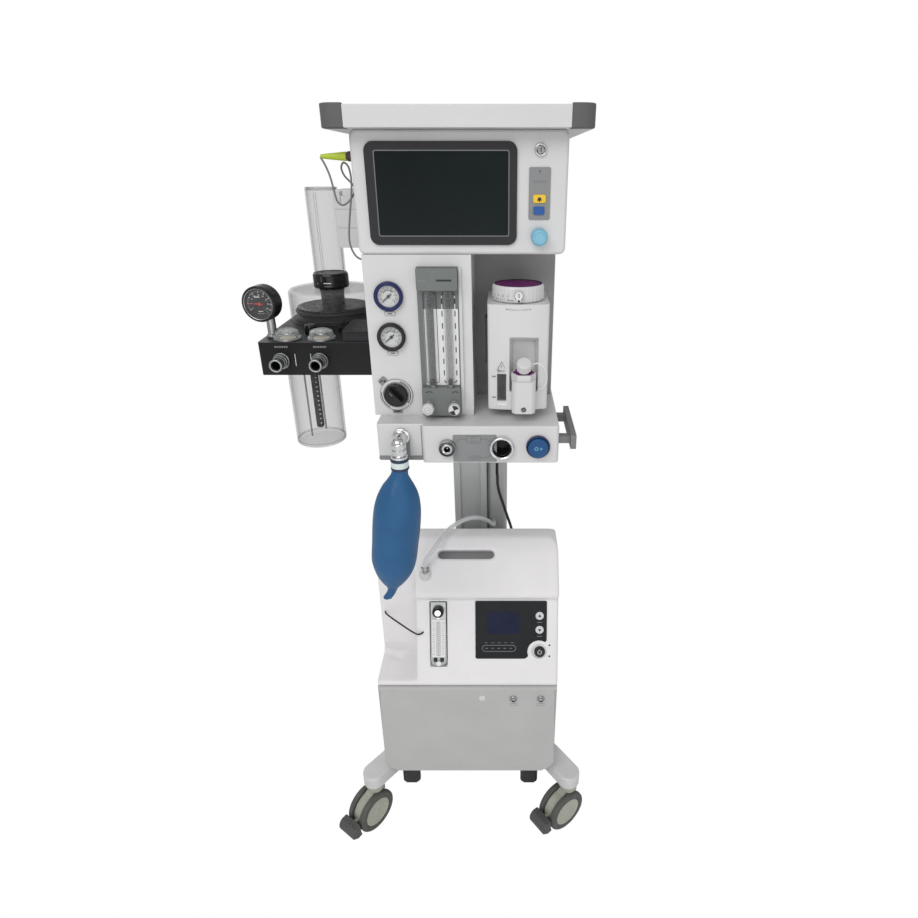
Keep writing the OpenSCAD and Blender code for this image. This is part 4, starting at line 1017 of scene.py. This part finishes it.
def worktop():
    top = cad("worktop", 2.6, lambda e: abs(middle(e).z - 1028.5) > 32, 3)
    items = [(top, WHITE, UP), (prism(block(-142, -70, 997.5, 1005, 2), 40, 40.7, 0.3), LABEL, front()),
        (prism(block(-71.2, -69.9, 998, 1059), 38, 40.6), LABEL, front()),
        (prism(block(-19, 52, 998.5, 1046.5, 2.5), 49.6, 50.5, 0.2), LABEL, front())]
    # painted shade: a grey arch behind the bag elbow stands in for the shade of the recess there
    arch_shade = [(-116, 1004), (-90, 1004)] + arc(-103, 1038, 13, 0, 180, 16)
    items.append((prism(arch_shade, 39, 43, 1.6), LABEL, front()))
    for box in ((2.5, 26, 1031.5, 1044.5), (7, 25, 1002.5, 1009.5)):
        items.append((border(*box, 2, 0.8, 50.4, 50.7), STEEL, front()))
    for u, v, length, turn in ((-2.5, 1039, 10, 0), (-11, 1036, 9, 40), (31, 1039, 10, 0),
            (39.5, 1036, 9, -40), (31, 1006, 12, 0), (39.6, 1009, 8, 42), (14, 1041, 9, 0),
            (14.5, 1035.2, 13, 0), (16, 1006, 10, 0)):
        items.append((bar(u, v, length, 0.9, 50.4, 50.7, turn), STEEL, front()))
    joined(items, "worktop")

    def socket(points, at, r=0.7):
        return pipe(points, r, 72), front(*at)
    items = []
    shape, at = socket([(5, 36), (5, 59.5), (6, 61.4), (8.6, 61.6), (9.4, 59.8), (11.4, 59.8), (13, 60.4),
        (14, 59), (14, 50), (10, 50), (10, 36)], SUPPLY)
    items += [(shape, SATIN, at), (pipe([(5.2, 57), (8, 57), (8, 62), (5.2, 61)], 0.4, 48), CHROME, at),
        (pipe([(10.2, 59), (12.6, 59), (12.6, 60.8), (10.2, 60.6)], 0.3, 48), GLOSS_BLACK, at),
        (turned([(0, 37), (2, 37), (2, 56), (0, 57)], 0.5, 32), SATIN, at), (turned([(0, 36), (5.1, 36),
        (5.1, 38), (0, 38)], 0.2, 32), INK, at)]
    shape, at = socket([(11, 30), (11, 40), (14.2, 55), (15.6, 58.6), (17.4, 60), (19, 59.6), (20, 58),
        (20, 50), (16, 50), (16, 30)], FRESH, 0.9)
    items += [(shape, CHROME, at), (turned([(0, 30), (11.1, 30), (11.1, 32), (0, 32)], 0.2, 48), INK, at),
        (pipe([(10.6, 31), (11.2, 31), (11.2, 40), (13.9, 53.4), (13.3, 53.6), (10.6, 40.4)], 0.1, 72),
        GLOSS_BLACK, at)]
    shape, at = socket([(16.75, 26), (16.75, 54.6), (17.6, 56), (18.6, 56), (19.5, 54.8), (19.5, 50),
        (18, 50), (18, 26)], FLUSH, 0.5)
    items.append((shape, NAVY, at))
    for x in (-100, -60):
        items += [(prism(ring(12, 6), 380, 386, 0.8), SATIN, back(x, 1110)), (turned([(0, 386), (7, 386),
            (7, 390), (8, 391), (8, 394), (6.6, 395), (8, 396), (8, 403), (5, 404), (0, 404)], 0.5, 48),
            CHROME, back(x, 1110))]
    inlet = cut(prism(block(-27, 27, -18, 18, 3), 380, 386, 1), (prism(block(-14, 14, -11, 11, 2),
        381, 390), back(0, 0)))
    items.append((inlet, GLOSS_BLACK, back(77, 1108)))
    for u, v in ((-6, -3), (6, -3), (0, 4)):
        items.append((prism(block(u - 1, u + 1, v - 2.5, v + 2.5), 381, 384.6), SATIN, back(74, 1108)))
    joined(items, "outlet_ports")

    here = front(*FLUSH)
    button = turned([(0, 34), (16.4, 34), (16.4, 59.6), (15, 61.4), (12.6, 60.9), (0, 60.6)], 1.0, 72)
    mark = [(pipe([(2.2, 60.5), (3.2, 60.5), (3.2, 60.95), (2.2, 60.95)], 0.1, 32), SKY,
        here @ Matrix.Translation((-3, 0, 0))), (bar(4.5, 0, 4.6, 1, 60.5, 60.95), SKY, here),
        (bar(4.5, 0, 4.6, 1, 60.5, 60.93, 90), SKY, here), (pipe([(10.6, 60.4), (11.2, 60.4), (11.2, 60.95),
        (10.6, 60.95)], 0.1, 48), NAVY, here)]
    joined([(button, FLUSH_BLUE, here), *mark], "flush_button", "flush")
    refine("side_rail", RAIL, 1.0, lambda e: e.calc_length() > 5)


def bag_and_elbow():
    at = front(-103, 1041)
    drop = upright(*BAG)
    arm = turned([(0, 40), (13.4, 40), (14, 41), (14, 46), (13, 47), (11, 47.4), (10.6, 50), (10.6, 75),
        (0, 75)], 0.6, 64)
    ball = lathe([(10.9 * cos(radians(a)), 1041 + 10.9 * sin(radians(a))) for a in range(-90, 91, 10)], 64)
    spigot = pipe([(7.5, 1003), (10.9, 1003), (10.9, 1017.4), (13.8, 1017.6), (13.8, 1021.6),
        (10.4, 1022.4), (9.8, 1026), (9.8, 1041), (7.5, 1041)], 0.4, 64)
    nuts = [prism(soft(ring(12.4, 8), 1.2), 1024.6, 1031.6, 1.2, 1.2), prism(soft(ring(12.4, 8), 1.2),
        1034, 1042, 1.2, 1.2)]
    joined([(arm, CHROME, at), (ball, CHROME, drop), (spigot, CHROME, drop), *[(n, CHROME,
        drop) for n in nuts]], "bag_elbow")

    profile = catmull([(13, 1, 0), (14, -13, 0), (21, -26, 0), (31, -44, 0), (37.5, -68, 0), (39.6, -98, 0),
        (39.4, -150, 0), (37, -180, 0), (30, -203, 0), (19.5, -222, 0), (11, -234, 0), (8, -243, 0),
        (7.6, -258, 0), (5.5, -261.6, 0)], 5)
    body = lathe([(p.x, p.y) for p in profile] + [(0, -262)], 72)
    for v in body.verts:
        x, y, z = v.co
        a, r = atan2(y, x), hypot(x, y)
        if r < 1:
            continue
        fold = 0.9 * max(0, 1 - abs(z + 34) / 42) * cos(7 * a + 0.6) * (r / 30)
        lump = 1.6 * noise.noise(Vector((x * 0.022, y * 0.022, z * 0.016)))
        bulge = 1.5 * max(0, cos(a - radians(200))) * max(0, 1 - abs(z + 178) / 40)
        size = (r + (fold + lump + bulge) * min(1, max(0, (r - 12) / 12))) / r
        v.co.x, v.co.y = x * size, y * size * (0.94 if z < -40 else 1)
        v.co.x -= 0.012 * max(0, -z - 236) ** 2 * 1.2
    hang = Matrix.Translation((*BAG, 1001)) @ Matrix.Rotation(radians(7), 4, "Y")
    cup = pipe([(11.2, 1002.4), (14.2, 1002.4), (14.2, 1014), (11.2, 1014)], 0.5, 64)
    base_ = turned([(0, 998), (14.8, 998), (14.8, 1002.4), (0, 1002.4)], 0.9, 64)
    lip = pipe([(11.2, 1012.6), (14.9, 1012.6), (14.9, 1016.9), (11.2, 1016.9)], 0.9, 64)
    joined([(body, BAG_BLUE, hang), (cup, BAND, drop), (base_, NAVY, drop), (lip, NAVY, drop)],
        "breathing_bag", "bag")


# ---- Breathing circuit ----

VALVES = {"inhale": (-305, 76), "exhale": (-247, 76)}
PORTS = (-311, -246)
BELLOWS, CANISTER = (-266, 250), (-288, 140)
AIRWAY = (-333, 59, 1235)


def circuit():
    outline = block(-349, -151.3, 52, 345, 3)
    body = prism(outline, 1114, 1171, 1.2, 1.2)
    holes = [(lathe([(0, 1168), (9, 1168), (9, 1180), (0, 1180)], 40),
        upright(*v)) for v in VALVES.values()]
    body = cut(body, (lathe([(0, 1100), (40.2, 1100), (40.2, 1126), (0, 1126)], 72), upright(*CANISTER)),
        *holes)
    items = [(body, BLACK, UP), (prism(block(-208, -151.4, 60, 150, 4), 1170, 1188, 1.6), BLACK, UP),
        (turned([(0, 1170), (11, 1170), (11, 1183), (9.6, 1187), (0, 1187)], 1, 48), GLOSS_BLACK,
        upright(-276, 116)), (prism(block(-230, -206, 120, 165, 4), 1170, 1180, 1.4), GLOSS_BLACK, UP)]
    for v in VALVES.values():
        items.append((pipe([(9, 1169), (12, 1169), (12, 1172), (9, 1172)], 0.2, 48), SATIN, upright(*v)))
    tube = turned([(0, 985), (6.6, 985), (7.2, 988), (7.2, 1126), (0, 1126)], 0.6, 40)
    items.append((tube, BEZEL, upright(*CANISTER)))
    for k in range(14):
        at = around(*CANISTER, 7.2, 14, 994 + k * 9)
        items += [(bar(2.2, 0, 3, 2, -0.6, 0.3), WHITE_INK, at), (prism(ring(1.5, 14), -0.4, 0.2), INK,
            at @ Matrix.Translation((-1.6, 3, 0)))]
    for dx, dy, low in ((-16, -8, 968), (13, -10, 984)):
        items.append((turned([(0, low), (1.6, low), (1.6, 1126), (0, 1126)], 0.4, 24), SATIN,
            upright(CANISTER[0] + dx, CANISTER[1] + dy)))
    for u in (-289, -262.5):
        items.append((bar(u, 1141, 21, 0.9, -52.3, -51.7, 90), WHITE_INK, front()))
    for x in PORTS:
        for k in range(6):
            items.append((bar(x - 9 + k * 3.8, 1163.4, 2.4, 3, -52.3, -51.8), LABEL, front()))
    joined(items, "circuit_block")

    items = []
    for x in PORTS:
        here = front(x, 1141)
        port = pipe([(7.5, -52), (7.5, -15.4), (8.4, -14), (10, -14), (11, -15.2), (11, -19), (10.2, -20),
            (10.2, -30), (11.2, -31), (11.2, -36), (12.4, -37), (12.4, -43), (14, -44.4), (14, -52)],
            0.5, 64)
        liner = pipe([(6.9, -50), (7.6, -50), (7.6, -17), (6.9, -17)], 0.1, 48)
        end = turned([(0, -51), (7.6, -51), (7.6, -49), (0, -49)], 0.2, 48)
        items += [(port, SATIN, here), (liner, GLOSS_BLACK, here), (end, INK, here)]
    joined(items, "breathing_ports")

    items = []
    for key, v in VALVES.items():
        dome = lathe(soft([(0, 1188), (13, 1187.8), (18.4, 1185.4), (20, 1180), (20.2, 1177), (23, 1175.6),
            (23, 1171.3), (17.5, 1171.3), (17.5, 1180), (16.2, 1184), (11, 1186), (0, 1186.2)], 1,
            False, 3), 96, wave=(24, 0.4, 22))
        cage = pipe([(6.5, 1180.5), (9.5, 1180.5), (9.5, 1182), (6.5, 1182)], 0.3, 40)
        post = turned([(0, 1180), (2.2, 1180), (2.2, 1186.4), (0, 1186.4)], 0.3, 24)
        rim = pipe([(18.2, 1171.6), (22, 1171.6), (22, 1173.6), (18.2, 1173.6)], 0.4, 72)
        items += [(dome, DOME, upright(*v)), (cage, CHROME, upright(*v)), (post, CHROME, upright(*v)), (rim,
            SATIN, upright(*v))]
        for k in range(3):
            items.append((bar(4.4, 0, 8.8, 1, 1180.6, 1181.8), CHROME,
                upright(*v) @ Matrix.Rotation(radians(120 * k + 30), 4, "Z")))
        refine(key + "_disc", DISC, 0.3, body=key + "_valve")
    joined(items, "valve_domes")

    can = lathe(soft([(0, 958), (43.6, 958), (46, 960.6), (46, 1110), (45, 1113.6), (40, 1113.6),
        (40, 1125.6), (37, 1125.6), (37, 1109), (43, 1106), (43, 964), (41, 961.4), (0, 961.4)], 1.5,
        False, 3), 96)
    rim = pipe([(43.1, 961), (45.6, 961), (45.6, 965), (43.1, 965)], 0.4, 96)
    joined([(can, CLEAR, upright(*CANISTER)), (rim, TUBE, upright(*CANISTER))],
        "absorber_canister", "canister")


def bellows():
    here = upright(*BELLOWS)
    housing = pipe([(82, 1171.2), (82, 1222), (79, 1227), (72, 1228), (24.2, 1228), (24.2, 1225.2),
        (71, 1225.2), (76.5, 1224), (79, 1219), (79, 1171.2)], 2.5, 120)
    joined([(housing, CLEAR, here)], "bellows_housing")
    fold = pipe([(26, 1171.4), (72, 1171.4), (74, 1173.4), (74, 1176.6), (68, 1181), (66, 1182),
        (68, 1183.2), (72.4, 1186), (72.4, 1188.6), (70, 1190.9), (26, 1190.9)], 1.2, 96)
    soft_part = joined([(fold, BELLOWS_RUBBER, here)], "bellows")
    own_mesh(soft_part)
    disc = pipe([(22.15, 1191.1), (66, 1191.1), (68.8, 1192.6), (68.4, 1194.6), (60, 1195.8), (34, 1195),
        (30, 1195.9), (22.15, 1195.9)], 0.9, 96)
    joined([(disc, GLOSS_BLACK, here)], "bellows_disc", "bellows_top")

    post = turned([(0, 1171.2), (21.9, 1171.2), (21.9, 1220), (23.4, 1222), (23.4, 1229), (0, 1229)],
        0.6, 72)
    cap = turned([(0, 1229), (31.5, 1229), (33, 1231), (33, 1252), (31, 1256), (29.2, 1256), (28, 1254.6),
        (0, 1254.6)], 1.4, 96)
    tube = pipe([(26.6, 1254.4), (28.9, 1254.4), (28.9, 1404), (27.8, 1405), (26.6, 1404)], 0.5, 96)
    items = [(post, GLOSS_BLACK, here), (cap, GLOSS_BLACK, here), (tube, CLEAR, here), (pipe([(25.6, 1399),
        (26.7, 1399), (26.7, 1404.4), (25.6, 1404.4)], 0.3, 72), TUBE, here),
        (bar(0, 0, 14, 1.5, -0.6, 0.25), WHITE_INK, around(*BELLOWS, 33, 2, 1240)),
        (bar(0, 0, 12, 1.2, -0.6, 0.25), LABEL, around(*BELLOWS, 33, 2, 1234.4)),
        # painted highlight: a lighter grey vertical streak on the left of the glossy black cap
        (bar(0, 0, 9, 0.9, -0.5, 0.25, 90), LABEL, around(*BELLOWS, 33, -18, 1247)),
        (bar(0, 0, 3, 2.2, -0.5, 0.25), LABEL, around(*BELLOWS, 33, -34, 1239))]
    for k in range(3):
        a = radians(120 * k + 20)
        items.append((sweep([(25.4 * cos(a), 25.4 * sin(a), 1256), (25.4 * cos(a), 25.4 * sin(a), 1396)],
            0.8, 10), TUBE, here))
    joined(items, "relief_tube")


def airway_gauge():
    here = Matrix.Translation(AIRWAY) @ Matrix.Rotation(radians(-8), 4, "Z") @ front()
    case = pipe([(1.35, -14), (1.35, 8), (24, 8), (24, 12), (25.2, 14), (27.6, 14), (29, 12), (29, -12),
        (27, -14)], 0.9, 96)
    items = [(case, GLOSS_BLACK, here), (pipe([(24.1, 12.6), (25, 12.6), (25, 13.6), (24.1, 13.2)],
        0.2, 96), SATIN, here), (pipe([(1.35, 7.9), (23.9, 7.9), (23.9, 8.3), (1.35, 8.3)], 0.1, 72), BLACK,
        here), (turned([(0, 12), (24.1, 12), (24.1, 12.6), (0, 12.6)], 0.2, 72), GLASS, here),
        (turned([(0, -28), (8, -28), (8, -14), (0, -14)], 0.8, 40), BLACK, here), (turned([(0, 1171),
        (10, 1171), (10, 1176), (7.5, 1178), (7.4, 1240), (5, 1244), (0, 1244)], 1.2, 48), SATIN,
        upright(-334, 88)), (bar(-3, 11, 9, 1.6, 8.3, 8.5), WHITE_INK, here),
        (bar(0, -12, 8, 1.1, 8.3, 8.5), WHITE_INK, here), (bar(0, -15.4, 12, 0.9, 8.3, 8.5), LABEL, here)]
    items += [(t, WHITE_INK, here) for t in ticks(9, 210, -240, 17.4, 21, 0.9, 8.3, 8.5)]
    items += [(t, WHITE_INK, here) for t in ticks(41, 210, -240, 19.4, 21, 0.35, 8.3, 8.45)]
    for k in range(9):
        a = radians(210 - 30 * k)
        items.append((digits(str(10 * k), 3.4, 14.2 * cos(a), 14.2 * sin(a), 8.35), WHITE_INK, here))
    joined(items, "airway_gauge")
    refine("airway_needle", RED, 0, body="airway_pointer")


# ---- Cords ----

HOSE_ROUTE = [(-101, 118, 674), (-101, 118, 684), (-94, 121, 698), (-84, 129, 709), (-75, 142, 718),
    (-64, 160, 726), (-51, 180, 731), (-33, 200, 734), (-14, 220, 732), (4, 240, 723), (18, 257, 710),
    (30, 272, 695), (38, 284, 680), (42, 296, 672), (42, 304, 672)]
LEAD_ROUTE = [(50, 302, 826), (50, 294, 826), (50, 284, 824), (50, 276, 818), (51, 270, 810),
    (51, 268, 800), (52, 268, 788), (54, 271, 775), (57, 276, 761), (60, 282, 747), (64, 287, 732),
    (68, 290, 716), (74, 294, 694), (80, 301, 671), (85, 310, 648), (90, 321, 622), (94, 330, 594),
    (97, 335, 566), (98, 336, 540), (98, 334, 526), (98, 334, 516)]
SENSOR_ROUTE = [(-201, 20, 1450), (-196, 20, 1441), (-191, 20, 1428), (-188, 21, 1414), (-186, 21, 1402),
    (-183, 20, 1391), (-176, 19, 1386), (-168, 19, 1389), (-161, 22, 1397), (-158, 28, 1404),
    (-160, 34, 1412), (-166, 37, 1418), (-173, 36, 1426), (-175, 31, 1436), (-170, 26, 1443),
    (-163, 23, 1438), (-160, 21, 1426), (-160, 20, 1412), (-162, 19, 1395), (-165, 18, 1378),
    (-168, 18, 1360), (-170, 17, 1342), (-169, 17, 1328), (-164, 17, 1316), (-157, 17, 1310),
    (-151, 17, 1310)]
STRAP_ROUTE = [(-200, 145, 536), (-196, 137, 536), (-180, 122, 535), (-160, 105, 534), (-140, 88, 533),
    (-126, 77, 533), (-118, 74, 532), (-111, 77, 532), (-108, 82, 532)]


def cord(name, route, diameter, material, bore=0.0):
    path = catmull(route, 4)
    tube = sweep(path, diameter / 2, 14, bore)
    piece = joined([(tube, material, UP)], name)
    return piece


def cords():
    cord("oxygen_hose", HOSE_ROUTE, 9.5, HOSE, 3.2)
    plug = prism(block(86, 110, 300.3, 345, 3), 490.3, 516, 2, 2)
    plug_piece = joined([(plug, RUBBER, UP)], "power_plug")
    cord("power_cable", LEAD_ROUTE, 6.5, RUBBER)
    here = frame_of((-163, 20, 1451), (0, 1, 0), (0, 0, 1), (-1, 0, 0))
    cone = turned([(0, 0), (6, 0), (6.2, 1.5), (5.2, 12), (3.6, 30), (2.6, 37.6), (0, 38)], 0.8, 40)
    joined([(cone, LIME, here)], "sensor_connector")
    cord("sensor_cable", SENSOR_ROUTE, 2.8, LEAD_GREY)
    cord("bottle_strap", STRAP_ROUTE, 3.6, INK)


# ---- Camera, floor and lights ----

CAMERA_PLACE, CAMERA_TILT = (0.059, -0.98, 1.437), radians(65)
LENS, SHIFT_X = 24.55, -0.0458
FILL, BACKDROP = 0.50, 1.0


def studio():
    scene = bpy.context.scene
    data = bpy.data.cameras.new("camera")
    camera = bpy.data.objects.new("camera", data)
    scene.collection.objects.link(camera)
    camera.location = ORIGIN + Vector(CAMERA_PLACE)
    camera.rotation_euler = (CAMERA_TILT, 0, 0)
    data.sensor_width, data.lens, data.shift_x, data.shift_y = 36, LENS, SHIFT_X, 0
    data.clip_start = 0.05
    scene.camera = camera

    floor = bpy.data.objects.new("floor", bpy.data.meshes.new("floor"))
    bm = bmesh.new()
    bmesh.ops.create_circle(bm, cap_ends=True, segments=96, radius=9)
    bm.to_mesh(floor.data)
    bm.free()
    floor.data.materials.append(surface("floor_white", (0.86, 0.86, 0.86), 0.7, vary=0.01, patch=0.5,
        bump=0.02))
    scene.collection.objects.link(floor)
    floor.visible_camera = False

    def area(name, place, aim, size, power, colour=(1, 1, 1)):
        light = bpy.data.lights.new(name, "AREA")
        light.shape, light.size, light.size_y = "RECTANGLE", size[0], size[1]
        light.energy, light.color = power, colour
        lamp = bpy.data.objects.new(name, light)
        lamp.location = ORIGIN + Vector(place)
        lamp.rotation_euler = (Vector(aim) - Vector(place)).to_track_quat("-Z", "Y").to_euler()
        scene.collection.objects.link(lamp)
    area("key", (-0.9, -2.2, 3.2), (0, 0.1, 0.9), (2.4, 1.8), 45)
    area("side_fill", (2.6, -1.4, 1.7), (0, 0.1, 0.9), (1.4, 2.2), 7)
    area("low_front", (0.0, -3.0, 0.7), (0, 0.1, 0.5), (3.0, 1.0), 13)
    area("back_rim", (-1.8, 2.2, 2.4), (0, 0.2, 1.0), (1.6, 1.6), 10)

    world = bpy.data.worlds.new("world")
    world.use_nodes = True
    n, l = world.node_tree.nodes, world.node_tree.links
    backdrop = n["Background"]
    backdrop.inputs["Color"].default_value = (1, 1, 1, 1)
    path = n.new("ShaderNodeLightPath")
    strength = n.new("ShaderNodeMapRange")
    strength.inputs["To Min"].default_value = FILL
    strength.inputs["To Max"].default_value = BACKDROP
    l.new(path.outputs["Is Camera Ray"], strength.inputs["Value"])
    l.new(strength.outputs["Result"], backdrop.inputs["Strength"])
    scene.world = world
    scene.view_settings.view_transform = "Standard"


studio()
cords()
base()
for key in STEMS:
    caster(key, key in ("fl", "fr"))
concentrator()
head()
gas_panel()
flow_panel()
vaporizer()
worktop()
bag_and_elbow()
circuit()
bellows()
airway_gauge()
